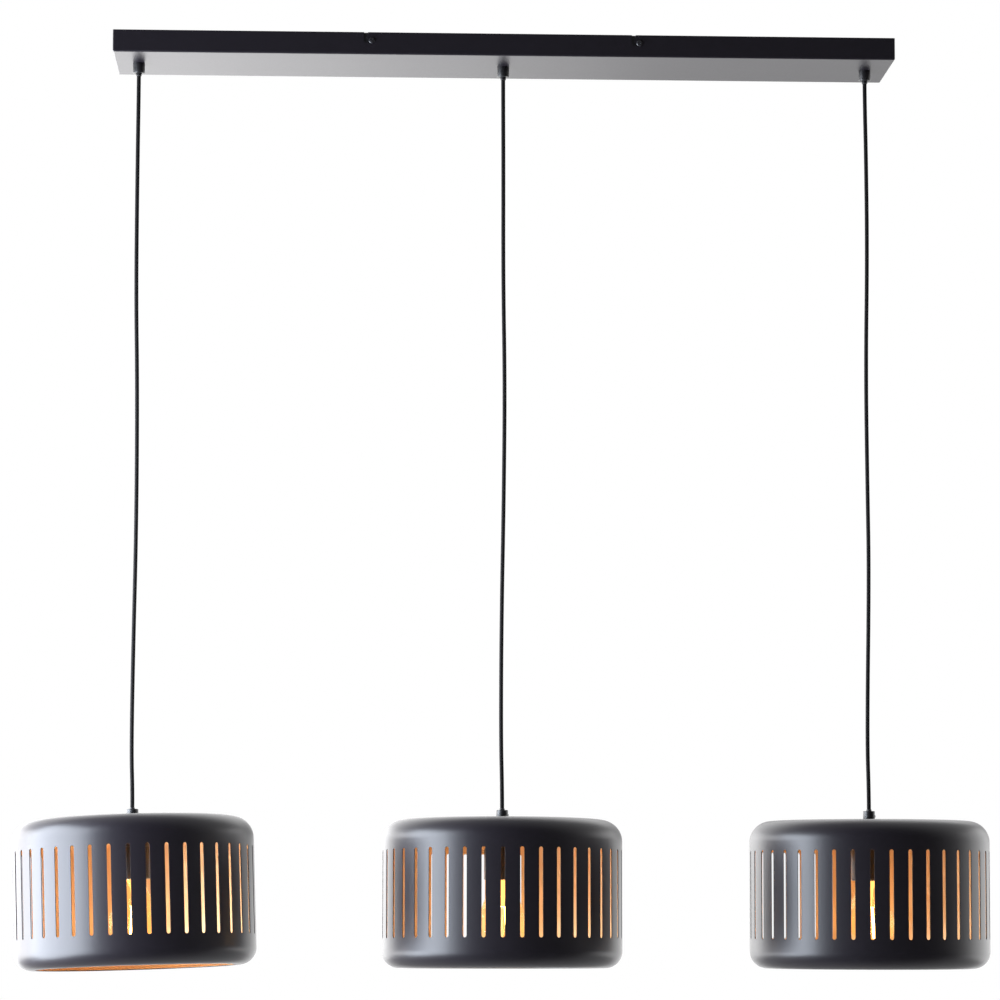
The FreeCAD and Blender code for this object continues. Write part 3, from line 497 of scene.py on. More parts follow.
# Solid finishes: the material's name, its colour as a code or a colour setting, roughness, grain and bump in
# millimetres, how far the colour varies, and what else it needs.
PAINTS = {
    # Baked black powder coat: near-black and satin, with a fine orange-peel bump that softens reflections.
    "powder_coat": ("satin_powder_coat", "outside", 0.38, 1.6, 0.006, 0.08, {"wear": 0.03, "ior": 1.4}),
    # Copper lacquer sprayed inside the shade: a warm metallic paint under a clear satin coat, a little uneven.
    "copper": ("copper_lacquer", "inside", 0.45, 2.4, 0.012, 0.06, {"metallic": 0.5, "coat": 1.0}),
    # Moulded black nylon of grips, sleeves and tips: dark and smooth, with a dull sheen.
    "nylon": ("moulded_black_nylon", "plastic", 0.42, 0.8, 0.015, 0.15, {}),
    # Pressed black resin of the lamp holder: dark, with a soft gloss.
    "resin": ("black_holder_resin", "plastic", 0.30, 1.2, 0.008, 0.15, {}),
    # Extruded black cord jacket: soft and dull, with a fine grain.
    "jacket": ("black_cord_jacket", "jacket", 0.65, 0.9, 0.012, 0.15, {"ior": 1.2}),
    # Bright zinc plate on rolled steel: grey metal with a faint cloudy crystal pattern.
    "zinc": ("bright_zinc_plate", "#c3c6c9", 0.32, 5.0, 0.01, 0.12, {"metallic": 1.0}),
    # Thin black coat on rolled steel, as on the screws and the bracket: a little glossy, hardly any grain.
    "black_coat": ("thin_black_coat_on_steel", "#1b1a1e", 0.34, 3.0, 0.005, 0.1, {}),
    # Drawn brass of clamps and contacts: warm yellow metal.
    "brass": ("drawn_brass", "#d0aa5c", 0.28, 3.0, 0.006, 0.08, {"metallic": 1.0}),
    # Pressed steatite ceramic of the holder's core: off-white and matt with a fine grain.
    "steatite": ("pressed_steatite", "#e6e0d2", 0.62, 0.7, 0.03, 0.05, {}),
    # Pressed nickel-plated screw cap of the bulb: bright, with rolled marks.
    "cap": ("nickel_screw_cap", "#cfc9be", 0.24, 2.0, 0.006, 0.08, {"metallic": 1.0}),
    # Moulded white nylon of the terminal block: dull.
    "white": ("moulded_white_nylon", "#e8e6df", 0.5, 1.5, 0.01, 0.04, {}),
    # Extruded core insulation: a plain signal colour with a soft gloss.
    "live_cores": ("brown_insulation", "#5c3216", 0.38, 0.8, 0.005, 0.08, {}),
    "neutral_cores": ("blue_insulation", "#1f5fae", 0.38, 0.8, 0.005, 0.08, {}),
}


def painted(name, tone, roughness, grain_mm, bump_mm, spread, metallic=0.0, wear=0.06, ior=1.5, coat=0.0):
    """A solid finish: mottled colour, roughness that varies a little, and a fine bump."""
    colour = linear(tone) if tone.startswith("#") else getattr(settings().colours, tone)
    material, tree, output, place = new_material(name)
    noise = add(tree, "ShaderNodeTexNoise", {"Vector": place}, Scale=per_mm(grain_mm * 12), Detail=3.0,
                Roughness=0.6)
    mix = add(tree, "ShaderNodeMix", {"Factor": noise.outputs["Fac"]}, data_type="RGBA")
    mix.inputs[6].default_value = [c * (1 - spread) for c in colour] + [1.0]
    mix.inputs[7].default_value = [min(1.0, c * (1 + spread)) for c in colour] + [1.0]
    grain = add(tree, "ShaderNodeTexNoise", {"Vector": place}, Scale=per_mm(grain_mm), Detail=2.0)
    rough = add(tree, "ShaderNodeMapRange", {"Value": grain.outputs["Fac"]}, To_Min=roughness - wear,
                To_Max=roughness + wear)
    bump = add(tree, "ShaderNodeBump", {"Height": grain.outputs["Fac"]}, Strength=0.35, Distance=bump_mm * MM)
    shader = add(tree, "ShaderNodeBsdfPrincipled", {
        "Base Color": mix.outputs[2], "Roughness": rough.outputs["Result"], "Normal": bump.outputs["Normal"],
    }, Metallic=metallic, IOR=ior, Coat_Weight=coat, Coat_Roughness=roughness)
    tree.links.new(shader.outputs[0], output.inputs["Surface"])
    return material


def striped_insulation():
    """Green core insulation with a yellow stripe round it, as on an earth wire."""
    material, tree, output, place = new_material("green_yellow_insulation")
    wave = add(tree, "ShaderNodeTexWave", {"Vector": place}, wave_type="BANDS",
               bands_direction="DIAGONAL", Scale=per_mm(40.0), Distortion=0.0)
    stripe = add(tree, "ShaderNodeMapRange", {"Value": wave.outputs["Fac"]}, From_Min=0.55, From_Max=0.62)
    mix = add(tree, "ShaderNodeMix", {"Factor": stripe.outputs["Result"]}, data_type="RGBA")
    mix.inputs[6].default_value = (*linear("#2f8f3a"), 1.0)
    mix.inputs[7].default_value = (*linear("#e6d62e"), 1.0)
    shader = add(tree, "ShaderNodeBsdfPrincipled", {"Base Color": mix.outputs[2]}, Roughness=0.38)
    tree.links.new(shader.outputs[0], output.inputs["Surface"])
    return material


def lamp_glass(name, tint, haze, glow=0.0):
    """Thin clear lamp glass: tinted and see-through, with a sharp gloss that grows towards its edges, and a
    painted glow when one is given.
    """
    material, tree, output, place = new_material(name)
    flow = add(tree, "ShaderNodeTexNoise", {"Vector": place}, Scale=per_mm(14.0), Detail=1.0)
    bump = add(tree, "ShaderNodeBump", {"Height": flow.outputs["Fac"]}, Strength=0.08, Distance=0.3 * MM)
    clear = add(tree, "ShaderNodeBsdfTransparent", Color=(*linear(tint), 1.0))
    gloss = add(tree, "ShaderNodeBsdfGlossy", {"Normal": bump.outputs["Normal"]}, Roughness=haze)
    edge = add(tree, "ShaderNodeFresnel", {"Normal": bump.outputs["Normal"]}, IOR=1.25)
    weak = add(tree, "ShaderNodeMapRange", {"Value": edge.outputs[0]}, To_Max=0.4)
    surface = add(tree, "ShaderNodeMixShader", {0: weak.outputs[0], 1: clear.outputs[0], 2: gloss.outputs[0]})
    # The glow is painted: an emission on the glass that stands in for the sticks' light shining in it.
    if glow > 0:
        warm = add(tree, "ShaderNodeEmission", Color=(*settings().colours.glow, 1.0), Strength=glow)
        surface = add(tree, "ShaderNodeAddShader", {0: surface.outputs[0], 1: warm.outputs[0]})
    tree.links.new(surface.outputs[0], output.inputs["Surface"])
    return material


def light_stick():
    """Glowing phosphor of a light stick: so bright that it shows white, with warm light."""
    material, tree, output, place = new_material("glowing_light_stick")
    noise = add(tree, "ShaderNodeTexNoise", {"Vector": place}, Scale=per_mm(1.2), Detail=0.0)
    level = add(tree, "ShaderNodeMapRange", {"Value": noise.outputs["Fac"]}, To_Min=14.0, To_Max=22.0)
    shine = add(tree, "ShaderNodeEmission", {"Strength": level.outputs["Result"]},
                Color=(*settings().colours.glow, 1.0))
    tree.links.new(shine.outputs[0], output.inputs["Surface"])
    return material


OTHER_FINISHES = {
    "earth_cores": striped_insulation,
    # Both glasses get a painted glow of the sticks' light: faint on the envelope, strong on the stem.
    "glass": lambda: lamp_glass("clear_amber_lamp_glass", "#fff0d8", 0.02, 0.12),
    "stem": lambda: lamp_glass("stem_glass", "#ffe2b4", 0.12, 0.8),
    "stick": light_stick,
}
FINISHES = {}


def finish(name):
    """One material for each finish, made when it is first used."""
    if name not in FINISHES:
        if name in PAINTS:
            *values, more = PAINTS[name]
            FINISHES[name] = painted(*values, **more)
        else:
            FINISHES[name] = OTHER_FINISHES[name]()
    return FINISHES[name]


# Camera, floor and light.

class PENDANT_OT_stage(bpy.types.Operator):
    """Camera at the photograph's viewing angle, white floor and surround, softbox and panels"""
    bl_idname = "pendant.stage"
    bl_label = "Stage"

    def execute(self, context):
        add_camera(context.scene)
        add_floor()
        add_surround(context.scene)
        for panel in PANELS:
            add_panel(*panel)
        context.scene.view_settings.view_transform = "Standard"
        return {"FINISHED"}


def add_camera(scene):
    """The photographer's place and lens."""
    camera = bpy.data.cameras.new("camera")
    camera.sensor_width = 36.0
    camera.lens = CAMERA_LENS
    camera.shift_x, camera.shift_y = CAMERA_SHIFT
    camera.clip_end = 60.0
    place = bpy.data.objects.new("camera", camera)
    place.location = CAMERA_PLACE
    place.rotation_euler = [math.radians(turn) for turn in CAMERA_TURN]
    scene.collection.objects.link(place)
    scene.camera = place


def white_level(tree, depth, near, far):
    """How white the surround is: 1 for the camera, a ramp from dim in front to white behind for rays in gloss
    or through glass, and 0 for the rest. Also whether the ray is one in gloss or glass, and one of all these."""
    rays = add(tree, "ShaderNodeLightPath")
    ramp = add(tree, "ShaderNodeMapRange", {"Value": depth}, interpolation_type="SMOOTHSTEP", From_Min=near,
               From_Max=far, To_Min=DIM_LEVEL, To_Max=1.0)
    indirect = add(tree, "ShaderNodeMath", {
        0: rays.outputs["Is Glossy Ray"], 1: rays.outputs["Is Transmission Ray"],
    }, operation="MAXIMUM")
    dimmed = add(tree, "ShaderNodeMath", {0: indirect.outputs[0], 1: ramp.outputs[0]}, operation="MULTIPLY")
    camera = rays.outputs["Is Camera Ray"]
    level = add(tree, "ShaderNodeMath", {0: dimmed.outputs[0], 1: camera}, operation="MAXIMUM")
    seen = add(tree, "ShaderNodeMath", {0: indirect.outputs[0], 1: camera}, operation="MAXIMUM")
    return level.outputs[0], indirect.outputs[0], seen.outputs[0]


def add_floor():
    """A plain white floor far below the lamp, which keeps the lamp's shadow."""
    bm = bmesh.new()
    bmesh.ops.create_grid(bm, x_segments=1, y_segments=1, size=FLOOR_REACH)
    bmesh.ops.translate(bm, verts=bm.verts, vec=(0, 0, -settings().light.floor))
    material, tree, output, place = new_material("white_floor")
    split = add(tree, "ShaderNodeSeparateXYZ", {"Vector": place})
    level, in_gloss, _ = white_level(tree, split.outputs["Y"], *FLOOR_RAMP)
    lift = add(tree, "ShaderNodeMath", {0: level}, operation="MULTIPLY")
    lift.inputs[1].default_value = FLOOR_SHARE
    matt = add(tree, "ShaderNodeBsdfDiffuse", Color=FLOOR_GREY)
    shine = add(tree, "ShaderNodeEmission", {"Strength": lift.outputs[0]}, Color=WHITE)
    both = add(tree, "ShaderNodeAddShader", {0: matt.outputs[0], 1: shine.outputs[0]})
    surface = add(tree, "ShaderNodeMixShader", {0: in_gloss, 1: both.outputs[0], 2: shine.outputs[0]})
    tree.links.new(surface.outputs[0], output.inputs["Surface"])
    mesh_object("floor", bm, [material])


def add_surround(scene):
    """White wherever it is seen; in gloss it is white behind the lamp and dim in front, like a dark studio."""
    world = bpy.data.worlds.new("surround")
    world.use_nodes = True
    tree = world.node_tree
    tree.nodes.clear()
    output = tree.nodes.new("ShaderNodeOutputWorld")
    way = add(tree, "ShaderNodeTexCoord")
    split = add(tree, "ShaderNodeSeparateXYZ", {"Vector": way.outputs["Generated"]})
    level, _, seen = white_level(tree, split.outputs["Y"], *SURROUND_RAMP)
    back = add(tree, "ShaderNodeBackground", {"Strength": level}, Color=WHITE)
    soft = add(tree, "ShaderNodeBackground", Color=WHITE, Strength=SOFT_LEVEL)
    mix = add(tree, "ShaderNodeMixShader", {0: seen, 1: soft.outputs[0], 2: back.outputs[0]})
    tree.links.new(mix.outputs[0], output.inputs["Surface"])
    scene.world = world


def add_panel(name, place, target, size):
    """A rectangular light panel that faces a point and isn't seen by the camera itself."""
    light = bpy.data.lights.new(name, "AREA")
    light.shape = "RECTANGLE"
    light.size, light.size_y = size
    light.energy = getattr(settings().light, name)
    light.color = settings().colours.softbox if name == "softbox" else WHITE[:3]
    lamp = bpy.data.objects.new(name, light)
    lamp.location = place
    lamp.rotation_euler = (Vector(target) - Vector(place)).to_track_quat("-Z", "Y").to_euler()
    lamp.visible_camera = False
    bpy.context.scene.collection.objects.link(lamp)


# Cords.

class PENDANT_OT_cords(bpy.types.Operator):
    """The three hanging cords with the sleeve at the canopy and the tip at the shade"""
    bl_idname = "pendant.cords"
    bl_label = "Cords"

    def execute(self, context):
        sizes = settings().cord
        for side in SIDES:
            cord, path = smooth_tube("hanging_cord_" + side, cord_route(side), sizes.diameter, [finish("jacket")])
            fit(cord, "cord_" + side, "black_cord_jacket", "cord_" + side)
            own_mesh(cord)
            add_mouldings(side)
        return {"FINISHED"}


def cord_route(side):
    """The points that steer a hanging cord, from the sleeve down to the tip."""
    x = outlet(side)
    drop = CORD_TOP - CORD_BOTTOM
    points = [(x, 0, CORD_TOP), (x, 0, CORD_TOP - CORD_STRAIGHT_END)]
    for share, right, back in CORD_BENDS[side]:
        points.append((x + right * MM, back * MM, CORD_TOP - share * drop))
    return points + [(x, 0, CORD_BOTTOM + CORD_STRAIGHT_END), (x, 0, CORD_BOTTOM)]


def add_mouldings(side):
    """The short sleeve on the cord's body at the canopy's grip, and the tip on the cord's lower end: each is
    domed inside its grip, then runs straight to an eased edge."""
    sizes = settings().cord
    for name, body, diameter, seat, end, way, bore in (
            ("cord_sleeve", "cord_", sizes.sleeve, SLEEVE_SEAT, CORD_TOP, -1, [sizes.diameter / 2]),
            ("cord_tip", "tip_", sizes.tip, TIP_SEAT, CORD_BOTTOM, 1, [])):
        radius, far = diameter / 2, end - seat
        dome = (radius * DOME_SHARES[0], -way * radius * DOME_SHARES[1])
        outline = [(0, -way * radius), dome, (radius, 0), (radius, far - way * MOULDING_EASE)]
        outline += [(ring, far) for ring in (radius - MOULDING_EASE, *bore, 0)]
        bm = moved(spun(outline, 40), Matrix.Translation((outlet(side), 0, seat)))
        fit(mesh_object(name + "_moulding_" + side, bm, [finish("nylon")]), body + side, "black_thermoplastic",
            name + "_" + side)


# Canopy.

class PENDANT_OT_canopy(bpy.types.Operator):
    """The long folded sheet canopy with its hook slots, and the side screws"""
    bl_idname = "pendant.canopy"
    bl_label = "Canopy"

    def execute(self, context):
        sizes = settings().canopy
        bm = box_mesh((0, 0, CANOPY_RIM - sizes.height / 2), (sizes.length, sizes.depth, sizes.height))
        top = [face for face in bm.faces if face.normal.z > 0.9]
        bmesh.ops.delete(bm, geom=top, context="FACES")
        folds = [edge for edge in bm.edges if not edge.is_boundary]
        bmesh.ops.bevel(bm, geom=folds, offset=sizes.bend, offset_type="OFFSET", segments=5, profile=0.5,
                        affect="EDGES", material=-1)
        canopy = mesh_object("canopy_box", bm, [finish("powder_coat")], 60.0)
        modify(canopy, "sheet", "SOLIDIFY", thickness=sizes.wall, offset=-1.0, use_even_offset=True)
        cut_away(canopy, hook_slot_cutters())
        fit(canopy, "canopy", "satin_black_powder_coat", "canopy")
        add_side_screws()
        return {"FINISHED"}


def screw_places():
    """Where the four side screws stand in the canopy's walls, and which way each one points."""
    sizes = settings().canopy
    return [(end * sizes.screw_spacing / 2, way * sizes.depth / 2, way) for end in (-1, 1) for way in (-1, 1)]


def hook_slot_cutters():
    """Cutters for the four bayonet slots: down from the rim, then along to the screw."""
    sizes = settings().canopy
    z = -sizes.screw_drop
    parts = []
    for x, y, _ in screw_places():
        entry = x - sizes.hook_travel
        for end in (x, entry):
            round_end = bmesh.new()
            bmesh.ops.create_cone(round_end, cap_ends=True, segments=32, radius1=HOOK_HALF, radius2=HOOK_HALF,
                                  depth=HOOK_CUT)
            parts.append(moved(round_end, Matrix.Translation((end, y, z)) @ turned(90, "X")))
        parts.append(wall_cutter((entry, x), y, (z - HOOK_HALF, z + HOOK_HALF)))
        parts.append(wall_cutter((entry - HOOK_HALF, entry + HOOK_HALF), y, (z, MM)))
    return parts


def wall_cutter(along, y, heights):
    """A cutting block across one wall of the canopy."""
    return box_mesh((sum(along) / 2, y, sum(heights) / 2),
                    (along[1] - along[0], HOOK_CUT, heights[1] - heights[0]))


def cut_away(piece, cutters):
    """Cuts each block out of a piece, applies its modifiers and evens its shading."""
    blocks = []
    for number, bm in enumerate(cutters):
        block = mesh_object("cutter_%d" % number, bm, [])
        blocks.append(block)
        modify(piece, "slot_%d" % number, "BOOLEAN", operation="DIFFERENCE", solver="EXACT", object=block)
    graph = bpy.context.evaluated_depsgraph_get()
    mesh = bpy.data.meshes.new_from_object(piece.evaluated_get(graph))
    piece.modifiers.clear()
    for block in blocks:
        bpy.data.objects.remove(block)
    bm = bmesh.new()
    bm.from_mesh(mesh)
    mark_sharp(bm, 30)
    bm.to_mesh(mesh)
    bm.free()
    old = piece.data
    piece.data = mesh
    bpy.data.meshes.remove(old)
    modify(piece, "even_shading", "WEIGHTED_NORMAL", keep_sharp=True, weight=100)


def add_side_screws():
    """The four side screws, each with a domed head and a small round recess in it."""
    sizes = settings().canopy
    radius = sizes.screw_head / 2
    outline = [(0, 0.0014), (0.0003, 0.0014), (0.0009, 0.0024, 0.0002), (radius - 0.0009, 0.0021, 0.0006),
               (radius, 0.0009, 0.0004), (radius, 0, 0.0001), (0.002, 0), (0.002, -0.008, 0.0004), (0, -0.008)]
    parts = []
    for x, y, way in screw_places():
        place = Matrix.Translation((x, y, -sizes.screw_drop)) @ turned(-90 * way, "X")
        parts.append(moved(spun(outline, 40), place))
    fit(mesh_object("side_screws", merged(parts), [finish("black_coat")]), "bracket", "black_coated_steel",
        "canopy_screws")


# Grips.

class PENDANT_OT_grips(bpy.types.Operator):
    """The cord grips under the canopy and on the shades, each with its grub screw"""
    bl_idname = "pendant.grips"
    bl_label = "Cord grips"

    def execute(self, context):
        sizes = settings().cord
        upper = []
        for side in SIDES:
            upper.append(moved(grip(sizes.sleeve, "Y"), Matrix.Translation((outlet(side), 0, SLEEVE_SEAT))))
        fit(mesh_object("canopy_cord_grips", merged(upper), [finish("nylon")]), "canopy", "black_thermoplastic",
            "canopy_grips")
        for side in SIDES:
            lower = moved(grip(sizes.tip, "X"), pendant_place(side) @ turned(180, "X"))
            fit(mesh_object("shade_cord_grip_" + side, lower, [finish("nylon")]), "holder_" + side,
                "black_thermoplastic", "shade_grip_" + side)
        return {"FINISHED"}


def grip(held, screw_axis):
    """A grip's body, standing on its seat for the held moulding at z = 0, and the grub screw in its side."""
    sizes = settings().cord
    seat, radius, bore = held / 2 + SEAT_PLAY, sizes.grip / 2, sizes.diameter / 2 + CORD_PLAY
    body = spun([(seat, 0, 0.0003), (radius, 0, 0.0007), (radius, GRIP_HEIGHT, 0.0003),
                 (TUBE_RADIUS, GRIP_HEIGHT), (TUBE_RADIUS, SOCKET_FLOOR), (bore, SOCKET_FLOOR), (bore, BORE_LOW),
                 (seat * 0.9, 0.0014)])
    screw = spun([(0, 0.0072), (0.0007, 0.0072), (0.0007, 0.0075), (0.0015, 0.0075, 0.00025), (0.0015, 0.0025),
                  (0, 0.0025)], 24)
    turn = turned(-90, "X") if screw_axis == "Y" else turned(90, "Y")
    moved(screw, Matrix.Translation((0, 0, GRUB_SCREW_HEIGHT)) @ turn)
    return merged([body, screw])


# Shades.

class PENDANT_OT_shades(bpy.types.Operator):
    """The three spun drums with their slots, black outside and copper inside"""
    bl_idname = "pendant.shades"
    bl_label = "Shades"

    def execute(self, context):
        for side in SIDES:
            bm = drum(settings().shade)
            moved(bm, pendant_place(side) @ turned(SHADE_TURN[side], "Z"))
            shade = mesh_object("drum_shade_" + side, bm, [finish("powder_coat"), finish("copper")], 60.0)
            modify(shade, "wall", "SOLIDIFY", thickness=settings().shade.wall, offset=-1.0, material_offset=1,
                   material_offset_rim=0)
            modify(shade, "edge", "BEVEL", width=DRUM_EDGE, segments=2, limit_method="ANGLE",
                   angle_limit=math.radians(50), harden_normals=True)
            fit(shade, "shade_" + side, "satin_black_powder_coat", "shade_" + side)
        return {"FINISHED"}


def drum(sizes):
    """The drum's outer skin: one strip with one slot, repeated round the axis."""
    profile, slot_rows = drum_profile(sizes)
    columns = slot_columns(sizes)
    across, along = len(columns) - 1, len(profile) - 1
    bm = bmesh.new()
    bmesh.ops.create_grid(bm, x_segments=across, y_segments=along, size=0.5)
    half = sizes.slot_width / 2
    for vert in bm.verts:
        column = round((vert.co.x + 0.5) * across)
        row = round((0.5 - vert.co.y) * along)
        radius, height = profile[row]
        x = columns[column]
        if row in slot_rows and abs(x) < half * 1.001:
            rise = math.sqrt(max(0.0, half * half - x * x))
            height += rise if row == slot_rows[0] else -rise
        vert.index = row * len(columns) + column
        angle = x / (sizes.diameter / 2)
        vert.co = (radius * math.sin(angle), -radius * math.cos(angle), height)
    cut = []
    for face in bm.faces:
        rows, places = zip(*(divmod(vert.index, len(columns)) for vert in face.verts))
        inside = min(places) >= RIB_STEPS and max(places) <= RIB_STEPS + SLOT_STEPS
        if inside and set(rows) == set(slot_rows):
            cut.append(face)
    bmesh.ops.delete(bm, geom=cut, context="FACES")
    bmesh.ops.spin(bm, geom=bm.verts[:] + bm.edges[:] + bm.faces[:], cent=(0, 0, 0), axis=(0, 0, 1),
                   dvec=(0, 0, 0), angle=math.tau * (sizes.slots - 1) / sizes.slots, steps=sizes.slots - 1,
                   use_merge=False, use_duplicate=True)
    bmesh.ops.remove_doubles(bm, verts=bm.verts, dist=0.00001)
    bmesh.ops.recalc_face_normals(bm, faces=bm.faces)
    if max(bm.faces, key=lambda face: face.calc_center_median().z).normal.z < 0:
        bmesh.ops.reverse_faces(bm, faces=bm.faces)
    return bm


def slot_columns(sizes):
    """Places across one strip: half a rib, the slot's round end in even steps of angle, half a rib."""
    half_pitch = math.pi * sizes.diameter / sizes.slots / 2
    half_slot = sizes.slot_width / 2
    slot = [-half_slot * math.cos(math.pi * k / SLOT_STEPS) for k in range(SLOT_STEPS + 1)]
    rib = [half_slot + (half_pitch - half_slot) * k / RIB_STEPS for k in range(1, RIB_STEPS + 1)]
    return [-x for x in reversed(rib)] + slot + rib


def drum_profile(sizes):
    """The outer profile from the hole in the top to the turned-in lip, and the rows where the slot ends."""
    radius, top = sizes.diameter / 2, SHADE_TOP
    bottom = top - sizes.height
    points = [(place, top) for place in (sizes.hole / 2, *TOP_RINGS, radius - sizes.top_radius - SHOULDER_BAND)]
    points += corner((radius - sizes.top_radius, top - sizes.top_radius), sizes.top_radius, 90, 0)
    slot_high = top - sizes.slot_top - sizes.slot_width / 2
    slot_low = top - sizes.slot_top - sizes.slot_length + sizes.slot_width / 2
    points += [(radius, slot_high + SLOT_BAND), (radius, slot_high), (radius, slot_low),
               (radius, slot_low - SLOT_BAND)]
    slot_rows = (len(points) - 3, len(points) - 2)
    points += corner((radius - sizes.bottom_radius, bottom + sizes.bottom_radius), sizes.bottom_radius, 0, -90)
    points.append((radius - sizes.bottom_radius - sizes.lip, bottom))
    return points, slot_rows


def corner(centre, radius, start, end):
    """Points on a round corner of the profile."""
    angles = [math.radians(start + (end - start) * k / CORNER_STEPS) for k in range(CORNER_STEPS + 1)]
    return [(centre[0] + radius * math.cos(a), centre[1] + radius * math.sin(a)) for a in angles]


# Lamp holders and bulbs.

class PENDANT_OT_holders(bpy.types.Operator):
    """The lamp holders under the shades, cap and skirt"""
    bl_idname = "pendant.holders"
    bl_label = "Lamp holders"

    def execute(self, context):
        sizes = settings().bulb
        cap, skirt, mouth = sizes.holder_cap / 2, sizes.holder / 2, sizes.mouth / 2
        shoulder = HOLDER_TOP - COLLAR_HEIGHT
        for side in SIDES:
            upper = spun([(TUBE_RADIUS, HOLDER_TOP), (COLLAR_RADIUS, HOLDER_TOP, 0.0006),
                          (COLLAR_RADIUS, shoulder, 0.0012), (cap, shoulder, 0.011), (cap, SKIRT_TOP),
                          (cap - HOLDER_WALL, SKIRT_TOP), (cap - HOLDER_WALL, shoulder - HOLDER_WALL, 0.009),
                          (0.0075, shoulder - HOLDER_WALL), (0.0075, shoulder - 0.004),
                          (TUBE_RADIUS, shoulder - 0.004)], 80)
            lower = spun([(skirt - HOLDER_WALL, SKIRT_TOP), (skirt, SKIRT_TOP, 0.0005),
                          (skirt, SKIRT_BOTTOM, 0.0016), (mouth, SKIRT_BOTTOM, 0.0006),
                          (mouth, SKIRT_BOTTOM + HOLDER_RIM),
                          (skirt - HOLDER_WALL, SKIRT_BOTTOM + HOLDER_RIM)], 80)
            for name, bm, node in (("holder_upper_shell_", upper, "holder_cap_"),
                                   ("holder_lower_shell_", lower, "holder_skirt_")):
                moved(bm, pendant_place(side))
                fit(mesh_object(name + side, bm, [finish("resin")]), "holder_" + side, "black_holder_plastic",
                    node + side)
        return {"FINISHED"}


class PENDANT_OT_bulbs(bpy.types.Operator):
    """The lit bulbs: screw cap, glass, stem, light sticks and their light"""
    bl_idname = "pendant.bulbs"
    bl_label = "Bulbs"

    def execute(self, context):
        for side in SIDES:
            for name, bm, coat, slot, node, sharp in (
                    ("bulb_screw_cap_", screw_cap(), "cap", "bulb_cap_metal", "bulb_cap_", 50.0),
                    ("bulb_envelope_", envelope(), "glass", "clear_bulb_glass", "bulb_glass_", 35.0),
                    ("bulb_stem_glass_", stem(), "stem", "clear_bulb_glass", "bulb_stem_", 35.0),
                    ("bulb_light_sticks_", sticks(), "stick", "glowing_light_stick", "bulb_sticks_", 35.0)):
                moved(bm, pendant_place(side))
                fit(mesh_object(name + side, bm, [finish(coat)], sharp), "bulb_" + side, slot, node + side)
            add_bulb_light(side)
        return {"FINISHED"}


def screw_cap():
    """The screw cap with its rolled thread, insulator and contact tip."""
    radius = settings().bulb.screw_cap / 2
    low = BULB_SHELL_BOTTOM
    outline = [(0, CONTACT_BOTTOM), (0.0041, CONTACT_BOTTOM, 0.0005), (0.00475, CONTACT_BOTTOM - 0.0014),
               (radius - 0.0015, CONTACT_BOTTOM - 0.0054, 0.0006)]
    for turn in range(THREAD_TURNS):
        crest = CONTACT_BOTTOM - THREAD_START - turn * THREAD_PITCH
        outline += [(radius, crest, 0.0005), (radius - THREAD_DEPTH, crest - THREAD_PITCH / 2, 0.0005)]
    return spun(outline + [(radius, low + 0.0016), (radius, low), (0, low)], 56)


def glass_outline(inset):
    """Half the glass envelope from the cap to the lowest point, drawn in by a wall."""
    sizes = settings().bulb
    neck, bowl = sizes.neck / 2 - inset, sizes.bowl / 2 - inset
    bowl_z = BULB_SHELL_BOTTOM - sizes.glass + sizes.bowl / 2
    waist_z = BULB_SHELL_BOTTOM - sizes.neck / 4
    join = (bowl * math.cos(math.radians(GLASS_JOIN)), bowl_z + bowl * math.sin(math.radians(GLASS_JOIN)))
    points = [(neck, BULB_SHELL_BOTTOM), (neck, waist_z)]
    for k in range(1, 10):
        share = k / 10
        ease = share * share * (3 - 2 * share) * NECK_CURVE + share * (1 - NECK_CURVE)
        points.append((neck + (join[0] - neck) * ease, waist_z + (join[1] - waist_z) * share))
    for k in range(25):
        angle = math.radians(GLASS_JOIN - (GLASS_JOIN + 90) * k / 24)
        points.append((max(0.0, bowl * math.cos(angle)), bowl_z + bowl * math.sin(angle)))
    return points


def envelope():
    """The clear envelope, a thin wall with an inner and an outer face."""
    return spun(glass_outline(0.0) + glass_outline(settings().bulb.glass_wall)[::-1], 80)


def stem():
    """The glass stem that carries the sticks."""
    high = BULB_SHELL_BOTTOM
    low = high - settings().bulb.stem
    return spun([(0, high), (0.009, high, 0.0004), (0.0045, high - 0.009, 0.003), (0.0027, low + 0.002, 0.001),
                 (0.0027, low, 0.0008), (0, low)], 48)


def sticks():
    """The light sticks in a slender cone under their hub."""
    sizes = settings().bulb
    top = BULB_SHELL_BOTTOM - sizes.stem - HUB_HEIGHT
    parts = [moved(spun([(0, 0), (0.0053, 0, 0.0001), (0.0053, HUB_HEIGHT, 0.0001), (0, HUB_HEIGHT)], 32),
                   Matrix.Translation((0, 0, top)))]
    for k in range(STICK_COUNT):
        angle = math.radians(360 / STICK_COUNT * (k + 0.5))
        start, end = [Vector((ring * math.cos(angle), ring * math.sin(angle), z))
                      for ring, z in zip(STICK_RINGS, (top, top - sizes.sticks))]
        way = end - start
        stick = spun([(0, 0), (STICK_RADIUS, 0, 0.0002), (STICK_RADIUS, way.length, 0.0003), (0, way.length)],
                     STICK_SIDES)
        parts.append(moved(stick, Matrix.Translation(start) @ way.to_track_quat("Z", "Y").to_matrix().to_4x4()))
    return merged(parts)


def add_bulb_light(side):
    """The light that the sticks give, as a small warm lamp among them."""
    light = bpy.data.lights.new("bulb_light_" + side, "POINT")
    light.energy = settings().light.bulb
    light.color = settings().colours.bulb_light
    light.shadow_soft_size = BULB_LIGHT_SIZE
    lamp = bpy.data.objects.new("bulb_light_" + side, light)
    lamp.location = pendant_place(side) @ Vector((0, 0, BULB_SHELL_BOTTOM - BULB_LIGHT_DROP))
    bpy.context.scene.collection.objects.link(lamp)


# Wiring and metal fittings.

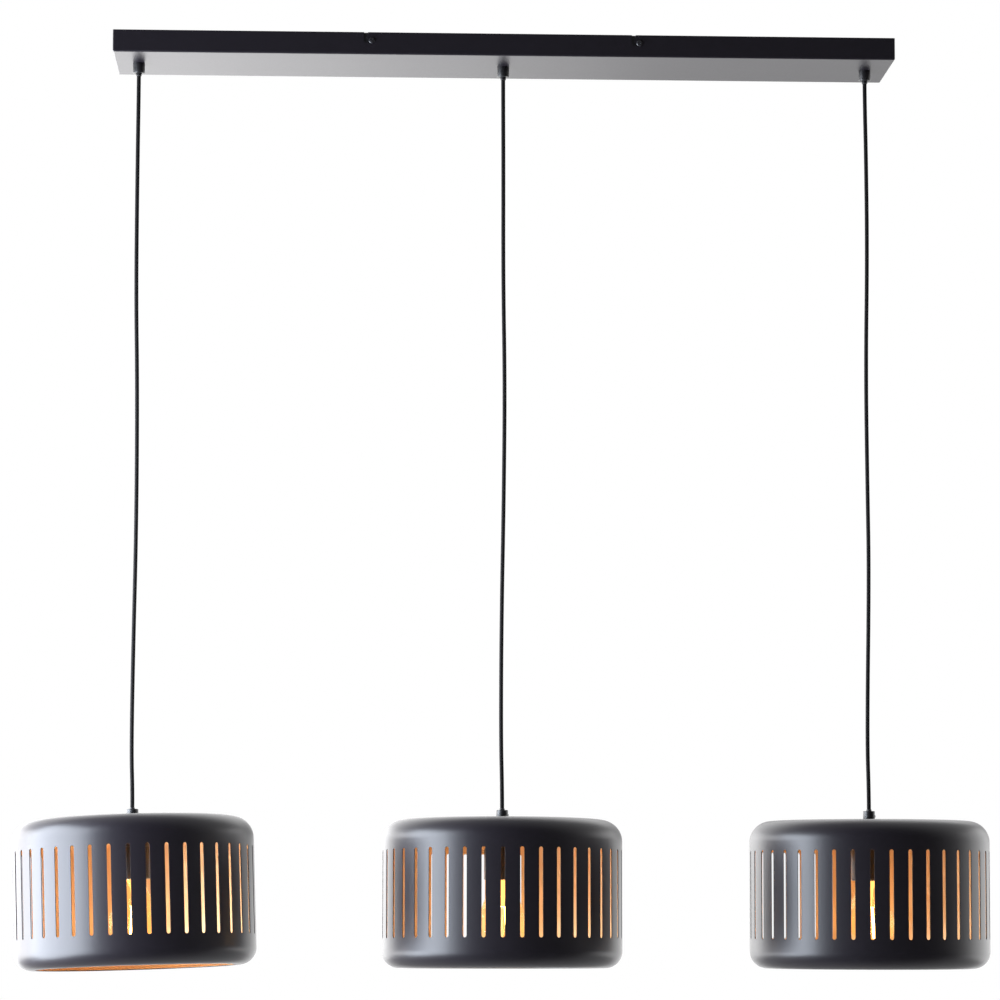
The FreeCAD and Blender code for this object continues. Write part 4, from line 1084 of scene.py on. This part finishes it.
class PENDANT_OT_wiring(bpy.types.Operator):
    """The cords' inner ends and their cores on the canopy's floor"""
    bl_idname = "pendant.wiring"
    bl_label = "Wiring"

    def execute(self, context):
        diameter = settings().cord.diameter
        for side in SIDES:
            jacket, _ = smooth_tube("inner_jacket_" + side, jacket_route(side, diameter), diameter,
                                    [finish("jacket")])
            fit(jacket, "canopy", "black_cord_jacket", "inner_cords")
            for pole, node in enumerate(CORE_NODES):
                core, _ = smooth_tube(node[:-1] + "_" + side, core_route(side, pole, diameter), CORE_DIAMETER,
                                      [finish(node)])
                fit(core, "canopy", CORE_SLOTS[pole], node)
        return {"FINISHED"}


def jacket_route(side, diameter):
    """The points that steer a cord's inner end."""
    start, end = outlet(side), JACKET_ENDS[side]
    points = [(start, 0, JACKET_LOW)]
    for share, back, over in JACKET_ROUTES[side]:
        along = start + share * (end - start)
        points.append((along, back * MM, CANOPY_FLOOR + diameter / 2 + over * MM))
    low = CANOPY_FLOOR + diameter / 2 + JACKET_LIFT
    return points + [(end, JACKET_END - JACKET_LAST_RUN, low), (end, JACKET_END, low)]


def core_route(side, pole, diameter):
    """The points that steer one core from its jacket to its clamp."""
    low = CANOPY_FLOOR + diameter / 2 + JACKET_LIFT
    leave = math.radians(90 + 120 * (1 - pole))
    leave_x = JACKET_ENDS[side] + CORE_RING * math.cos(leave)
    leave_z = low + CORE_RING * math.sin(leave)
    spot = math.radians(CORE_SPOT[side])
    enter_x = POLE_X[pole] + CORE_RING * math.cos(spot)
    enter_z = POLE_Z + CORE_RING * math.sin(spot)
    layer = POLE_Z + CORE_LAYER[side]
    return [
        (leave_x, JACKET_END - 0.0005, leave_z),
        (leave_x, JACKET_END + CORE_FIRST_RUN, leave_z),
        (leave_x + CORE_FAN * (pole - 1), JACKET_END + CORE_CLIMB_END, layer),
        (enter_x, POLE_FRONT - CORE_CROSSING_END, layer),
        (enter_x, POLE_FRONT - CORE_FIRST_RUN, enter_z),
        (enter_x, POLE_FRONT + CORE_INSET, enter_z),
    ]


class PENDANT_OT_fittings(bpy.types.Operator):
    """Finishes for the CAD nodes whose shape is kept: bracket, fixings, block, insert and contacts"""
    bl_idname = "pendant.fittings"
    bl_label = "Fittings"

    def execute(self, context):
        kept = dict(KEPT_NODES)
        for side in SIDES:
            kept.update({node + side: coat for node, coat in KEPT_IN_PENDANTS.items()})
        for node, name in kept.items():
            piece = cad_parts[node]
            if not piece.material_slots:
                piece.data.materials.append(None)
            for slot in piece.material_slots:
                slot.link = "OBJECT"
                slot.material = finish(name)
        return {"FINISHED"}


# Panel and registration.

OPERATORS = (
    PENDANT_OT_stage, PENDANT_OT_cords, PENDANT_OT_canopy, PENDANT_OT_grips, PENDANT_OT_shades,
    PENDANT_OT_holders, PENDANT_OT_bulbs, PENDANT_OT_wiring, PENDANT_OT_fittings,
)
GROUPS = (
    PendantCanopySizes, PendantCordSizes, PendantShadeSizes, PendantBulbSizes, PendantColours, PendantLight,
    PendantSettings,
)


class VIEW3D_PT_pendant(bpy.types.Panel):
    """Sizes, colours and steps of the pendant lamp"""
    bl_label = "Pendant"
    bl_idname = "VIEW3D_PT_pendant"
    bl_space_type = "VIEW_3D"
    bl_region_type = "UI"
    bl_category = "Pendant"

    def draw(self, context):
        chosen = context.scene.pendant_lamp
        for label in ("canopy", "cord", "shade", "bulb", "colours", "light"):
            box = self.layout.box()
            box.label(text=label.capitalize())
            group = getattr(chosen, label)
            for key in group.__annotations__:
                box.prop(group, key)
        for operator in OPERATORS:
            self.layout.operator(operator.bl_idname)


def register():
    for item in GROUPS + OPERATORS + (VIEW3D_PT_pendant,):
        bpy.utils.register_class(item)
    bpy.types.Scene.pendant_lamp = PointerProperty(type=PendantSettings)


def unregister():
    del bpy.types.Scene.pendant_lamp
    for item in reversed(GROUPS + OPERATORS + (VIEW3D_PT_pendant,)):
        bpy.utils.unregister_class(item)


def main():
    """Builds the stage and every piece."""
    register()
    for operator in OPERATORS:
        getattr(bpy.ops.pendant, operator.bl_idname.split(".")[1])()


if __name__ == "__main__":
    main()
